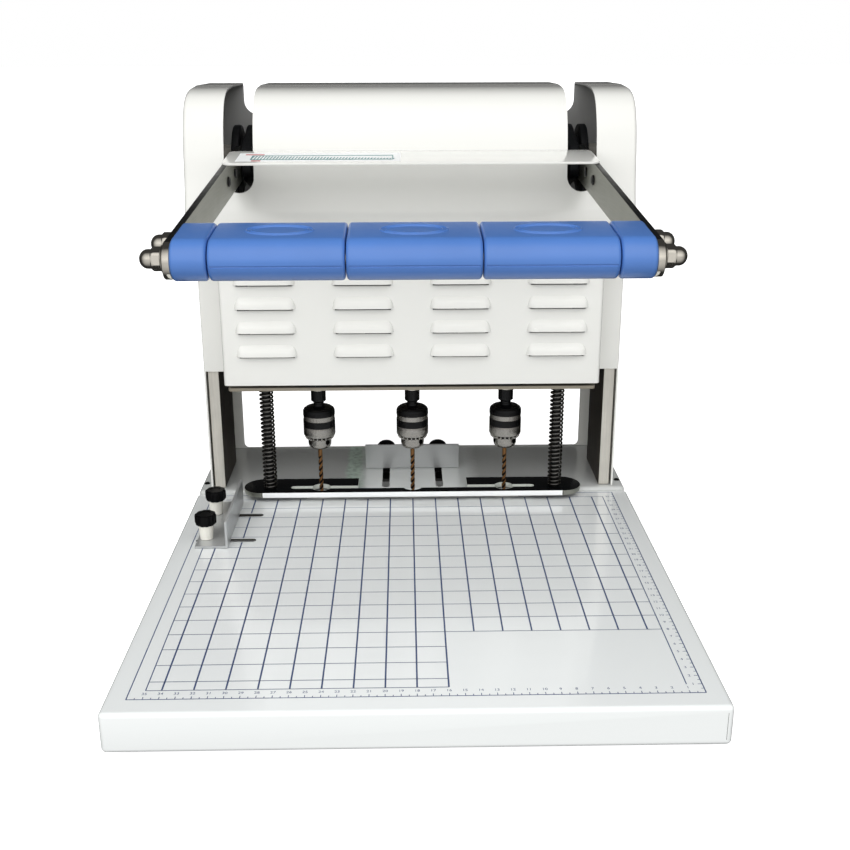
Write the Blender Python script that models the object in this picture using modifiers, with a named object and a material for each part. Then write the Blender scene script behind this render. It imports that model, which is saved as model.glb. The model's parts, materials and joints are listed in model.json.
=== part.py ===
import math

import bmesh
import bpy
from mathutils import Vector

# Lengths are in metres. +Z is up, +X is to the right and +Y goes to the back of the machine.
# The origin lies on the floor under the middle of the machine.

# Gaps
seat_gap = 0.0003           # between pieces that touch
turn_gap = 0.0004           # around a shaft that turns or a pin that slides
overrun = 0.004             # by which a cutter passes the faces that it cuts

# Table
table_width = 0.388
table_depth = 0.3512
table_height = 0.0278
table_sheet = 0.0015
table_round = 0.003
table_flange = 0.027        # folded in around the open underside
table_slot_width = 0.006
table_slot_inset = 0.016    # from the table's left edge to the slots for the side guide
table_slot_length = 0.049

# Feet
foot_height = 0.0052
foot_radius = 0.008
foot_top_radius = 0.0065
foot_inset = 0.018          # from the outer faces to the foot's middle

# Base
base_inset = 0.001          # of the base's sides from the table's
base_depth = 0.1195
base_step = 0.0025          # how far the base stands above the table
base_sheet = 0.003
base_round = 0.001
stop_slot_width = 0.0068
stop_slot_share = 1.1086    # of the slots' spacing to half of the stop's width
stop_slot_start = 0.0057    # from the base's front edge
stop_slot_length = 0.079

# Columns
column_thickness = 0.0095
column_depth = 0.068
column_setback = 0.0065     # from the base's front edge
column_top_room = 0.019     # from the hood's top down to the column's

# Covers
cover_inset = 0.0108        # of the covers' sides from the base's
cover_sheet = 0.0015
column_side_gap = 0.0015    # dark gap between a column and the side cover
side_setback = 0.0045       # from the base's front edge to the front of the side covers
side_front_height = 0.111   # of their front faces' lower edge above the table
rear_inset = 0.005          # from the base's rear edge to the back of the covers
seam_height = 0.244         # of the hood's lower edge above the table
hood_height = 0.108
hood_reach = 0.032          # how far the hood stands out in front of the base's front edge
hood_round = 0.0035
hood_lip = 0.0015           # left around the opening in the hood's underside
louvre_reach = 0.0325
louvre_inset = 0.0232       # of the louvred cover's sides from the other covers'
louvre_sheet = 0.0012
louvre_length = 0.0494
louvre_height = 0.0118
louvre_bulge = 0.0042
louvre_side_room = 0.01295  # from the cover's side to the first louvre
louvre_low_room = 0.0237    # from the cover's lower edge to the lowest louvres
louvre_high_room = 0.0366   # from the highest louvres to the hood
louvre_row_step = 0.0203    # about, from row to row: the rows share out their room evenly
arm_slot_inner_room = 0.016     # between the arm's outer face and the sides of its slot in the hood
arm_slot_outer_room = 0.0075
arm_slot_front_rise = 0.024     # of the slots' lower ends above the hood's lower edge
arm_slot_rear_rise = 0.081
window_inset = 0.0027       # from a column's inner face to the window
window_low = 0.003
window_high = 0.102
window_round = 0.005

# Power inlet on the rear panel, with the switch above its socket
inlet_width = 0.028
inlet_height = 0.046
inlet_depth = 0.022
inlet_rim = 0.003
inlet_rim_thickness = 0.0024
inlet_side = 0.090          # from the middle of the machine
inlet_drop = 0.0705         # from the hood's lower edge down to the socket's middle
inlet_wall = 0.003
socket_height = 0.018
pin_radius = 0.0014
pin_length = 0.012
pin_spacing = 0.007
pin_rise = 0.0035           # of the middle pin above the outer two
rocker_rise = 0.0235        # of the rocker's middle above the socket's
rocker_height = 0.014
rocker_depth = 0.006
rocker_back_height = 0.008
rocker_dip = 0.0008         # how far its middle stands out
rocker_rest = 0.0019        # how far its pressed end stands out
rocker_raised = 0.0036      # how far its other end stands out
rocker_pocket = 0.009       # depth of the switch's hollow

# Handle, in its own frame: back from the front, up from the pivot, square to the arms
pivot_inset = 0.0385        # from the base's front edge
pivot_rise = 0.050          # above the hood's lower edge
handle_tilt = math.radians(5.53)
shaft_radius = 0.010
arm_inset = 0.0142          # of its outer face from the head bracket's
arm_thickness = 0.0045
arm_front_offset = 0.002    # of its front circle's middle behind the front rod
arm_front_radius = 0.0108
arm_rear_reach = 0.041
arm_rear_radius = 0.0136
arm_top = 0.0161
arm_hole_reach = 0.0865
arm_hole_level = 0.0030
arm_hole_radius = 0.0032
arm_pair_reach = 0.122
arm_pair_level = 0.0040
arm_pair_radius = 0.0014
arm_pair_spacing = 0.0062
brace_front_reach = 0.122
brace_rear_reach = 0.0647
brace_thickness = 0.002
grip_end_length = 0.0205
grip_gap = 0.0006
grip_half_height = 0.012
grip_rise = 0.0068
grip_groove = 0.0008
rod_front_reach = 0.344
rod_spacing = 0.033
rod_radius = 0.004
washer_radius = 0.0095
washer_thickness = 0.0015
nut_across_flats = 0.013
nut_height = 0.0055
nut_dome_radius = 0.0056
nut_dome_height = 0.0072
crank_flange_radius = 0.026
crank_sleeve_radius = 0.016
crank_inner_flange = 0.0085
crank_outer_flange = 0.0065
crank_lug_radius = 0.014
crank_lug_reach = 0.040
crank_pin_throw = 0.039
crank_pin_drop = 0.02758    # of the pin below the shaft, at rest
crank_pin_radius = 0.0045
crank_lobe_radius = 0.010
crank_pin_length = 0.0135

# Head
head_inset = 0.0132         # of the head plate's sides from the columns' inner faces
head_bottom = 0.1043
head_thickness = 0.003
head_reach = 0.0265         # of its front edge before the base's front edge
head_rear_room = 0.0055     # from its rear edge to the back of the covers
bracket_inset = 0.0135      # of the bracket's outer face from the column's inner face
bracket_thickness = 0.0047
bracket_rear_reach = 0.085  # of its rear edge behind the base's front edge
bracket_low_height = 0.105  # above the head plate
yoke_wall = 0.0035
yoke_play = 0.0014          # room for the difference between the pin's arc and a straight lift
yoke_back = 0.0035          # room behind the pin for the handle's lowest position
block_width = 0.016
block_height = 0.090
block_lift = 0.010
rail_width = 0.015
rail_thickness = 0.0056
rail_inset = 0.040          # from the base's front edge to the rail's middle
rail_low = 0.113
rail_rise = 0.018           # of the rail's top above the hood's lower edge

# Drilling gear
drill_reach = 0.0085        # of the drill line before the base's front edge
drill_spacing_share = 0.21057    # of the table's width
housing_radius = 0.019
housing_height = 0.042
housing_web = 0.010
housing_web_height = 0.014
spindle_radius = 0.0065
spindle_waist_radius = 0.0045
spindle_shoulder = 0.0015    # height of the cone between the neck and the waist
spindle_neck_drop = 0.0136   # where the neck narrows, below the head plate
spindle_end_drop = 0.0167
pulley_radius = 0.0185
groove_radius = 0.0155
belt_width = 0.009
belt_thickness = 0.0022
belt_pitch = 0.0135
belt_rise = 0.0577          # of the lowest belt above the head plate
pulley_lip = 0.0015
chuck_top_drop = 0.017       # below the head plate
chuck_rim_drop = 0.0221
chuck_low_drop = 0.045
chuck_step = 0.0014          # height of the cone between the body and the nose
chuck_radius = 0.0140
chuck_crown_radius = 0.0055
nose_radius = 0.0101
nose_end_drop = 0.0599
nose_end_radius = 0.0066
nose_taper_drop = 0.0553
chuck_bore_depth = 0.008
drill_radius = 0.0021
drill_web_share = 0.62      # of the drill's radius left between its flutes
drill_tip = 0.0016           # of its point above the table
drill_point = 0.0016
drill_twist_pitch = 0.017
drill_bore_gap = 0.0003
motor_height = 0.049
motor_front_room = 0.011    # between the spindle housing and the motor
motor_rear_room = 0.007     # between the motor and the back of the covers
motor_round = 0.004
motor_shaft_radius = 0.005
motor_shaft_depth = 0.012
motor_pulley_radius = 0.0165
motor_groove_radius = 0.0135

# Clamp plate
clamp_bottom = 0.0043
clamp_thickness = 0.0044
clamp_inset = 0.0055        # of its ends from the head plate's sides
clamp_half_depth = 0.01725
clamp_offset = 0.00425      # of its middle behind the drill line
clamp_notch_room = 0.0327   # from an outer drill to the notch
clamp_slot_width = 0.006
clamp_slot_room = 0.018     # from a rod to the slot's outer end
clamp_eye_radius = 0.0085
clamp_rod_inset = 0.0295    # of a rod from the head plate's side
clamp_rod_radius = 0.004
clamp_collar_radius = 0.0075
clamp_collar_height = 0.006
spring_radius = 0.0055
spring_wire = 0.0007
spring_turns = 11

# Side guide
guide_fence_inset = 0.0425  # of the fence's outer face from the table's left edge
guide_rear_room = 0.0242    # from its rear end to the table's
guide_length = 0.093
guide_height = 0.023
guide_flange = 0.0245
guide_sheet = 0.002
guide_knob_offset = 0.0175  # from the fence's outer face to the knobs
guide_knob_first = 0.016    # from the guide's front end
guide_knob_spacing = 0.0515
guide_stud_radius = 0.0024
guide_stud_height = 0.008
guide_nut_radius = 0.006
guide_nut_thickness = 0.003
guide_collar_radius = 0.0062
guide_collar_top_radius = 0.0052
guide_collar_height = 0.0125
guide_knob_radius = 0.0092
guide_knob_height = 0.0115
guide_knob_chamfer = 0.0014

# Back stop
stop_side_room = 0.0048     # by which the stop is narrower than the clamp plate's notch on each side
stop_height = 0.0237
stop_sheet = 0.002
stop_flange = 0.026
stop_setback = 0.0525       # of the fence's front face behind the base's front edge
stop_knob_setback = 0.012   # behind the fence's front face
stop_knob_radius = 0.0085
stop_knob_height = 0.0219
stop_knob_dome = 0.006      # of the rounded top on the straight side
stop_neck_radius = 0.005
stop_neck_height = 0.007

# Cutting strip
strip_end_room = 0.0133     # from an outer drill to the strip's end
strip_width = 0.010
strip_thickness = 0.006
strip_lip = 0.002
strip_step = 0.0025

# How finely round shapes are divided
round_steps = 20
fine_steps = 28
arc_steps = 8
small_steps = 10
nut_steps = 6
hole_steps = 8
end_steps = 4
corner_steps = 3
bevel_steps = 2
drill_rings = 16
roundness_share = 0.5       # of a bevel, for a round one

# How often pieces are repeated
louvre_columns = 4
long_grips = 3
belt_levels = 3

# Sizes and places worked out from them, across the machine
base_width = table_width - 2 * base_inset
cover_side = base_width / 2 - cover_inset
column_outer = cover_side - cover_sheet - column_side_gap
column_inner = column_outer - column_thickness
window_half_width = column_inner - window_inset
louvre_half_width = cover_side - louvre_inset
louvre_span = 2 * (louvre_half_width - louvre_side_room)
louvre_column_pitch = (louvre_span - louvre_length) / (louvre_columns - 1)
head_half_width = column_inner - head_inset
bracket_outer = column_inner - bracket_inset
bracket_middle = bracket_outer - bracket_thickness / 2
arm_outer = bracket_outer - arm_inset
arm_middle = arm_outer - arm_thickness / 2
arm_slot_inner = arm_outer - arm_slot_inner_room
arm_slot_outer = arm_outer + arm_slot_outer_room
grip_span = 2 * (arm_outer - arm_thickness - seat_gap)
grip_length = (grip_span - 2 * grip_end_length - (long_grips + 1) * grip_gap) / long_grips
drill_spacing = table_width * drill_spacing_share
strip_length = 2 * (drill_spacing + strip_end_room)
clamp_half_width = head_half_width - clamp_inset
clamp_rod_side = head_half_width - clamp_rod_inset
clamp_slot_end = clamp_rod_side - clamp_slot_room
clamp_notch_half_width = drill_spacing - clamp_notch_room
stop_half_width = clamp_notch_half_width - stop_side_room
stop_slot_spacing = stop_half_width * stop_slot_share
table_slot_outer = table_width / 2 - table_slot_inset
table_slot_inner = table_slot_outer - table_slot_length
guide_fence_side = table_width / 2 - guide_fence_inset
guide_knob_side = guide_fence_side + guide_knob_offset

# From front to back
machine_depth = table_depth + seat_gap + base_depth
front_y = -machine_depth / 2
base_y = front_y + table_depth + seat_gap
rear_y = base_y + base_depth
cover_rear_y = rear_y - rear_inset
column_y = base_y + column_setback
drill_y = base_y - drill_reach
motor_radius = (cover_rear_y - motor_rear_room - drill_y - housing_radius - motor_front_room) / 2
motor_y = cover_rear_y - motor_rear_room - motor_radius
pivot_y = base_y + pivot_inset
hood_front_y = base_y - hood_reach
hood_depth = cover_rear_y - hood_front_y
louvre_y = base_y - louvre_reach
side_y = base_y + side_setback
guide_front = table_depth - guide_rear_room - guide_length
arm_front_reach = rod_front_reach - arm_front_offset
rod_rear_reach = rod_front_reach - rod_spacing

# Upwards. The heights that the next lines give are above the table.
pivot_height = seam_height + pivot_rise
column_height = seam_height + hood_height - column_top_room
arm_slot_front_low = seam_height + arm_slot_front_rise
arm_slot_rear_low = seam_height + arm_slot_rear_rise
rail_high = seam_height + rail_rise
inlet_level = seam_height - inlet_drop
louvre_rows_height = seam_height - louvre_high_room - louvre_height - side_front_height - louvre_low_room
louvre_rows = 1 + round(louvre_rows_height / louvre_row_step)
louvre_row_pitch = louvre_rows_height / (louvre_rows - 1)
spindle_neck_low = head_bottom - spindle_neck_drop
spindle_end = head_bottom - spindle_end_drop
chuck_top = head_bottom - chuck_top_drop
chuck_rim_level = head_bottom - chuck_rim_drop
chuck_low = head_bottom - chuck_low_drop
nose_taper_level = head_bottom - nose_taper_drop
nose_end = head_bottom - nose_end_drop

# Upwards from the floor
table_z = foot_height + table_height
pivot_z = table_z + pivot_height
seam_z = table_z + seam_height
head_z = table_z + head_bottom
head_top_z = head_z + head_thickness
clamp_z = table_z + clamp_bottom
clamp_top_z = clamp_z + clamp_thickness
base_top_z = table_z + base_step
belt_z = [head_top_z + belt_rise + belt_pitch * level for level in range(belt_levels)]

# Which way a flat piece's thickness runs, as the rotation of its outline
facing_up = (0, 0, 0)
facing_side = (math.pi / 2, 0, math.pi / 2)
facing_front = (math.pi / 2, 0, 0)


def clear_scene():
    for old in list(bpy.data.objects):
        bpy.data.objects.remove(old, do_unlink=True)


def collection(name):
    made = bpy.data.collections.new(name)
    bpy.context.scene.collection.children.link(made)
    return made


def material(name, color, roughness, metallic):
    made = bpy.data.materials.new(name)
    made.use_nodes = True
    shader = made.node_tree.nodes["Principled BSDF"]
    shader.inputs["Base Color"].default_value = (*color, 1)
    shader.inputs["Roughness"].default_value = roughness
    shader.inputs["Metallic"].default_value = metallic
    made.diffuse_color = (*color, 1)
    return made


clear_scene()
parts = collection("drill_binding_machine")
cutters = collection("cutters")

white_paint = material("white_paint", (0.86, 0.87, 0.86), 0.25, 0)
table_paint = material("table_paint", (0.80, 0.82, 0.82), 0.2, 0)
base_paint = material("base_paint", (0.30, 0.30, 0.30), 0.15, 0)
bright_steel = material("bright_steel", (0.55, 0.54, 0.51), 0.35, 1)
dark_steel = material("dark_steel", (0.06, 0.06, 0.06), 0.4, 0.6)
nickel = material("nickel", (0.75, 0.73, 0.68), 0.15, 1)
blue_plastic = material("blue_plastic", (0.10, 0.21, 0.58), 0.4, 0)
black_plastic = material("black_plastic", (0.015, 0.015, 0.018), 0.45, 0)
aluminium = material("aluminium", (0.70, 0.71, 0.72), 0.25, 1)
gold_steel = material("gold_steel", (0.40, 0.24, 0.10), 0.35, 1)
rubber = material("rubber", (0.02, 0.02, 0.02), 0.8, 0)
nylon = material("nylon", (0.85, 0.85, 0.82), 0.5, 0)
cast_iron = material("cast_iron", (0.10, 0.11, 0.12), 0.6, 0.5)


def place(piece, finish, parent=None, group=parts):
    group.objects.link(piece)
    if finish:
        piece.data.materials.clear()
        piece.data.materials.append(finish)
    piece.parent = parent
    if group == cutters:
        piece.hide_render = True
        piece.display_type = "WIRE"
    return piece


def from_bmesh(name, mesh, centre, finish, parent=None, group=parts):
    data = bpy.data.meshes.new(name)
    mesh.to_mesh(data)
    mesh.free()
    piece = bpy.data.objects.new(name, data)
    piece.location = centre
    return place(piece, finish, parent, group)


def box(name, low, high, finish, parent=None, group=parts, rounding=0):
    low, high = Vector(low), Vector(high)
    mesh = bmesh.new()
    bmesh.ops.create_cube(mesh, size=1)
    bmesh.ops.scale(mesh, vec=high - low, verts=mesh.verts)
    if rounding:
        bmesh.ops.bevel(mesh, geom=mesh.edges, offset=rounding, segments=bevel_steps,
                        profile=roundness_share, affect="EDGES")
    return from_bmesh(name, mesh, (low + high) / 2, finish, parent, group)


def cylinder(name, radius, low, high, axis, centre, finish, parent=None, group=parts,
             steps=round_steps):
    # A straight round bar from low to high along the axis X, Y or Z, through the centre.
    mesh = bmesh.new()
    bmesh.ops.create_cone(mesh, cap_ends=True, segments=steps, radius1=radius, radius2=radius,
                          depth=high - low)
    turn = {"X": (0, math.pi / 2, 0), "Y": (math.pi / 2, 0, 0), "Z": (0, 0, 0)}[axis]
    middle = Vector(centre)
    middle["XYZ".index(axis)] = (low + high) / 2
    piece = from_bmesh(name, mesh, middle, finish, parent, group)
    piece.rotation_euler = turn
    return piece


def turned(name, profile, centre, finish, parent=None, group=parts, steps=round_steps,
           turn=(0, 0, 0)):
    # The profile runs from top to bottom on the outer side, as (radius, height) pairs.
    data = bpy.data.meshes.new(name)
    edges = [(i, i + 1) for i in range(len(profile) - 1)]
    data.from_pydata([(radius, 0, height) for radius, height in profile], edges, [])
    piece = bpy.data.objects.new(name, data)
    piece.location = centre
    piece.rotation_euler = turn
    screw = piece.modifiers.new("turn", "SCREW")
    screw.steps = steps
    screw.render_steps = steps
    screw.use_merge_vertices = True
    screw.merge_threshold = 1e-5
    screw.use_smooth_shade = False
    return place(piece, finish, parent, group)


def as_mesh(curve_object, finish, parent, group):
    # Makes a curve a mesh and welds its caps to its sides.
    bpy.context.view_layer.update()
    graph = bpy.context.evaluated_depsgraph_get()
    data = bpy.data.meshes.new_from_object(curve_object.evaluated_get(graph))
    mesh = bmesh.new()
    mesh.from_mesh(data)
    bmesh.ops.remove_doubles(mesh, verts=mesh.verts, dist=1e-6)
    bmesh.ops.recalc_face_normals(mesh, faces=mesh.faces)
    mesh.to_mesh(data)
    mesh.free()
    name = curve_object.name
    where, turn = curve_object.location.copy(), curve_object.rotation_euler.copy()
    bpy.data.objects.remove(curve_object)
    piece = bpy.data.objects.new(name, data)
    piece.location = where
    piece.rotation_euler = turn
    return place(piece, finish, parent, group)


def flat(name, loops, thickness, facing, centre, finish, parent=None, group=parts, bevel=0):
    # A flat piece: its first loop is its outline and the others are holes.
    data = bpy.data.curves.new(name, "CURVE")
    data.dimensions = "2D"
    data.fill_mode = "BOTH"
    data.extrude = thickness / 2 - bevel
    data.bevel_depth = bevel
    data.bevel_resolution = 0
    data.offset = -bevel
    for loop in loops:
        spline = data.splines.new("POLY")
        spline.points.add(len(loop) - 1)
        for point, (across, up) in zip(spline.points, loop):
            point.co = (across, up, 0, 1)
        spline.use_cyclic_u = True
    curve_object = bpy.data.objects.new(name, data)
    curve_object.location = centre
    curve_object.rotation_euler = facing
    bpy.context.scene.collection.objects.link(curve_object)
    return as_mesh(curve_object, finish, parent, group)


def coil(name, radius, wire, low, high, turns, centre, finish):
    # Round wire wound into a helix about the Z axis.
    data = bpy.data.curves.new(name, "CURVE")
    data.dimensions = "3D"
    data.bevel_depth = wire
    data.bevel_resolution = 0
    data.use_fill_caps = True
    spline = data.splines.new("POLY")
    count = turns * hole_steps
    spline.points.add(count)
    for step, point in enumerate(spline.points):
        angle = 2 * math.pi * step / hole_steps
        height = low + wire + (high - low - 2 * wire) * step / count
        point.co = (radius * math.cos(angle), radius * math.sin(angle), height, 1)
    curve_object = bpy.data.objects.new(name, data)
    curve_object.location = centre
    bpy.context.scene.collection.objects.link(curve_object)
    return as_mesh(curve_object, finish, None, parts)


def boolean(piece, other, operation):
    step = piece.modifiers.new(other.name, "BOOLEAN")
    step.object = other
    step.operation = operation
    step.solver = "EXACT"


def cut(piece, *others):
    for other in others:
        boolean(piece, other, "DIFFERENCE")


def join(piece, *others):
    for other in others:
        boolean(piece, other, "UNION")


def arc(centre, radius, start, end, steps=arc_steps):
    # Points on a circle from one angle to the other, both ends included.
    angles = [start + (end - start) * step / steps for step in range(steps + 1)]
    return [(centre[0] + radius * math.cos(a), centre[1] + radius * math.sin(a)) for a in angles]


def circle(centre, radius, steps=round_steps):
    return arc(centre, radius, 0, 2 * math.pi, steps)[:-1]


def around_two(first, first_radius, second, second_radius, steps=arc_steps):
    # The outline of a band pulled tight around two circles.
    along = Vector(second) - Vector(first)
    heading = math.atan2(along.y, along.x)
    lean = math.acos((first_radius - second_radius) / along.length)
    back = arc(first, first_radius, heading + lean, heading + 2 * math.pi - lean, steps)
    ahead = arc(second, second_radius, heading - lean, heading + lean, steps)
    return back + ahead


def rectangle(left, right, low, high):
    return [(left, low), (right, low), (right, high), (left, high)]


def rounded_rectangle(left, right, low, high, radius, steps=corner_steps):
    quarter = math.pi / 2
    corners = [(right - radius, high - radius), (left + radius, high - radius),
               (left + radius, low + radius), (right - radius, low + radius)]
    points = []
    for turn, corner in enumerate(corners):
        points += arc(corner, radius, turn * quarter, (turn + 1) * quarter, steps)
    return points


def smooth_through(points, steps):
    # A curve through all the points, each stretch leaving towards the next but one.
    padded = [points[0]] + list(points) + [points[-1]]
    curve = []
    for i in range(len(points) - 1):
        a, b, c, d = (Vector(p) for p in padded[i:i + 4])
        for step in range(steps):
            t = step / steps
            pull = (2 * b + (c - a) * t + (2 * a - 5 * b + 4 * c - d) * t * t
                    + (3 * b - a - 3 * c + d) * t ** 3) / 2
            curve.append((pull.x, pull.y))
    return curve + [tuple(points[-1])]


def sides():
    return (("left", -1), ("right", 1))


def rounded_tray(name, low, high, sheet, rounding, finish):
    # A box of folded sheet with its underside open inside a flange.
    tray = box(name, low, high, finish, rounding=rounding)
    wall = Vector((sheet, sheet, sheet))
    hollow = box(f"{name}_hollow", Vector(low) + wall, Vector(high) - wall, None, group=cutters,
                 rounding=max(rounding - sheet, 0))
    opening = box(f"{name}_opening", (low[0] + table_flange, low[1] + table_flange, low[2] - overrun),
                  (high[0] - table_flange, high[1] - table_flange, low[2] + sheet + overrun), None,
                  group=cutters)
    cut(tray, hollow, opening)
    return tray


def make_table():
    half = table_width / 2
    rear = front_y + table_depth
    tray = rounded_tray("table_tray", (-half, front_y, foot_height), (half, rear, table_z),
                        table_sheet, table_round, table_paint)
    for row in range(2):
        y = front_y + guide_front + guide_knob_first + row * guide_knob_spacing
        radius = table_slot_width / 2
        outline = around_two((-table_slot_outer + radius, y), radius,
                             (-table_slot_inner - radius, y), radius, end_steps)
        cut(tray, flat(f"table_slot_{row}", [outline], 2 * overrun, facing_up,
                       (0, 0, table_z), None, group=cutters))
    strip_half = strip_length / 2 + seat_gap
    strip_hole = box("strip_hole",
                     (-strip_half, drill_y - strip_width / 2 - seat_gap, table_z - overrun),
                     (strip_half, drill_y + strip_width / 2 + seat_gap, table_z + overrun), None,
                     group=cutters)
    cut(tray, strip_hole)


def make_cutting_strip():
    # Its body fills the hole in the table and a longer foot lies against the sheet from below.
    half, narrow = strip_length / 2, strip_width / 2
    low = table_z - strip_thickness
    step = table_z - table_sheet - seat_gap
    strip = box("cutting_strip", (-half, drill_y - narrow, low), (half, drill_y + narrow, table_z),
                nylon)
    foot = box("strip_foot", (-half - strip_lip, drill_y - narrow, step - strip_step),
               (half + strip_lip, drill_y + narrow, step), None, group=cutters)
    join(strip, foot)


def make_base():
    half = base_width / 2
    base = rounded_tray("base_plate", (-half, base_y, foot_height), (half, rear_y, base_top_z),
                        base_sheet, base_round, base_paint)
    radius = stop_slot_width / 2
    for side, way in sides():
        x = way * stop_slot_spacing / 2
        start = base_y + stop_slot_start + radius
        outline = around_two((x, start), radius, (x, start + stop_slot_length - 2 * radius), radius,
                             end_steps)
        cut(base, flat(f"stop_slot_{side}", [outline], 2 * overrun, facing_up,
                       (0, 0, base_top_z), None, group=cutters))


def make_feet():
    rows = (("front", front_y + foot_inset, table_width), ("rear", rear_y - foot_inset, base_width))
    for row, y, width in rows:
        for side, way in sides():
            x = way * (width / 2 - foot_inset)
            top = foot_height - seat_gap
            profile = [(0, top), (foot_radius, top), (foot_top_radius, 0), (0, 0)]
            turned(f"foot_{row}_{side}", profile, (x, y, 0), rubber, steps=small_steps)


def make_columns():
    for side, way in sides():
        x = way * (column_inner + column_outer) / 2
        low = base_step + seat_gap
        middle = (low + column_height) / 2
        tall = (column_height - low) / 2
        outline = rectangle(-column_depth / 2, column_depth / 2, -tall, tall)
        y = column_y + column_depth / 2
        bore = circle((pivot_y - y, pivot_height - middle), shaft_radius + turn_gap)
        flat(f"column_{side}", [outline, bore], column_thickness, facing_side,
             (x, y, table_z + middle), bright_steel)


def hood_outline():
    # The front leans back a little, then rounds over into the flat top. Shares of depth and height.
    curve_shares = [(0, 0.11), (0.045, 0.33), (0.072, 0.55), (0.112, 0.74), (0.19, 0.895),
                    (0.32, 0.972), (0.56, 1)]
    curve = smooth_through(curve_shares, corner_steps)
    outline_shares = [(0, 0)] + curve + [(1, 1), (1, 0)]
    return [(hood_front_y + share * hood_depth, seam_z + up * hood_height)
            for share, up in outline_shares]


def arm_slot_cutter(name, way, low, first_y, last_y):
    # A slot with a round lower end, cut along Y from one place to the other.
    radius = (arm_slot_outer - arm_slot_inner) / 2
    x = way * (arm_slot_inner + arm_slot_outer) / 2
    top = seam_z + hood_height + overrun
    outline = arc((0, low + radius), radius, math.pi, 2 * math.pi) + [(radius, top), (-radius, top)]
    return flat(name, [outline], last_y - first_y, facing_front, (x, (first_y + last_y) / 2, 0), None,
                group=cutters)


def make_hood():
    mesh = bmesh.new()
    ends = []
    for x in (-cover_side, cover_side):
        ring = [mesh.verts.new((x, y, z)) for y, z in hood_outline()]
        ends.append(mesh.faces.new(ring))
    bmesh.ops.bridge_loops(mesh, edges=[edge for face in ends for edge in face.edges])
    bmesh.ops.recalc_face_normals(mesh, faces=mesh.faces)
    rims = [edge for face in ends for edge in face.edges]
    bmesh.ops.bevel(mesh, geom=rims, offset=hood_round, segments=corner_steps,
                    profile=roundness_share, affect="EDGES", clamp_overlap=True)
    hood = from_bmesh("hood", mesh, (0, 0, 0), white_paint)
    shell = hood.modifiers.new("sheet", "SOLIDIFY")
    shell.thickness = cover_sheet
    shell.offset = -1
    shell.use_even_offset = True
    # The underside is open over the louvred cover and, further back, as far as the side covers.
    front_opening = box("hood_front_opening",
                        (-louvre_half_width + hood_lip, hood_front_y + cover_sheet + hood_lip,
                         seam_z - overrun),
                        (louvre_half_width - hood_lip, cover_rear_y - cover_sheet - hood_lip,
                         seam_z + overrun), None, group=cutters)
    rear_opening = box("hood_rear_opening",
                       (-cover_side + cover_sheet + seat_gap, side_y + cover_sheet,
                        seam_z - overrun),
                       (cover_side - cover_sheet - seat_gap, cover_rear_y - cover_sheet - hood_lip,
                        seam_z + overrun), None, group=cutters)
    cut(hood, front_opening, rear_opening)
    middle_y = pivot_y
    for side, way in sides():
        cut(hood,
            arm_slot_cutter(f"front_slot_{side}", way, table_z + arm_slot_front_low,
                            hood_front_y - overrun, middle_y),
            arm_slot_cutter(f"rear_slot_{side}", way, table_z + arm_slot_rear_low,
                            middle_y - overrun, cover_rear_y + overrun))


def make_side_covers():
    # A wall down to the base and, higher up, a front face folded in from it.
    low = base_top_z + seat_gap
    high = seam_z - seat_gap
    fold_low = table_z + side_front_height
    inner = louvre_half_width + seat_gap
    for side, way in sides():
        outer_x, inner_x = way * cover_side, way * (cover_side - cover_sheet)
        wall = box(f"side_cover_{side}", (min(outer_x, inner_x), side_y, low),
                   (max(outer_x, inner_x), cover_rear_y, high), white_paint)
        fold_x = way * inner
        face = box(f"side_face_{side}", (min(fold_x, outer_x), side_y, fold_low),
                   (max(fold_x, outer_x), side_y + cover_sheet / 2, high), None, group=cutters)
        join(wall, face)


def louvre_shape(name, grow):
    # All the louvres as quarter domes, flat below and at the back, made smaller by grow.
    mesh = bmesh.new()
    for column in range(louvre_columns):
        for row in range(louvre_rows):
            x = (column - (louvre_columns - 1) / 2) * louvre_column_pitch
            z = table_z + side_front_height + louvre_low_room + row * louvre_row_pitch
            made = bmesh.ops.create_uvsphere(mesh, u_segments=small_steps, v_segments=nut_steps,
                                             radius=1)["verts"]
            bmesh.ops.scale(mesh, verts=made, vec=(louvre_length / 2 - grow,
                                                   louvre_bulge + louvre_sheet - grow,
                                                   louvre_height - grow))
            bmesh.ops.translate(mesh, verts=made, vec=(x, louvre_y + louvre_sheet, z))
            geometry = made + list({e for v in made for e in v.link_edges})
            geometry += list({f for v in made for f in v.link_faces})
            kept = bmesh.ops.bisect_plane(mesh, geom=geometry, plane_co=(x, louvre_y, z),
                                          plane_no=(0, 0, -1), clear_outer=True, dist=1e-7)["geom"]
            rim = [e for e in kept if isinstance(e, bmesh.types.BMEdge) and e.is_valid
                   and len(e.link_faces) == 1]
            bmesh.ops.holes_fill(mesh, edges=rim)
    bmesh.ops.recalc_face_normals(mesh, faces=mesh.faces)
    return from_bmesh(name, mesh, (0, 0, 0), None, group=cutters)


def make_louvre_cover():
    low, high = table_z + side_front_height, seam_z - seat_gap
    half = louvre_half_width
    rear = side_y + cover_sheet / 2
    cover = box("louvre_cover", (-half, louvre_y, low), (half, rear, high), white_paint)
    inside = box("louvre_inside", (-half + louvre_sheet, louvre_y + louvre_sheet, low - overrun),
                 (half - louvre_sheet, rear + overrun, high + overrun), None, group=cutters)
    join(cover, louvre_shape("louvre_domes", 0))
    cut(cover, louvre_shape("louvre_hollows", louvre_sheet), inside)


def inlet_block():
    # The block that the rear panel's opening takes, as its left, right, low and high limits.
    low = table_z + inlet_level - socket_height / 2 - inlet_wall
    return inlet_side - inlet_width / 2, inlet_side + inlet_width / 2, low, low + inlet_height


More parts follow.
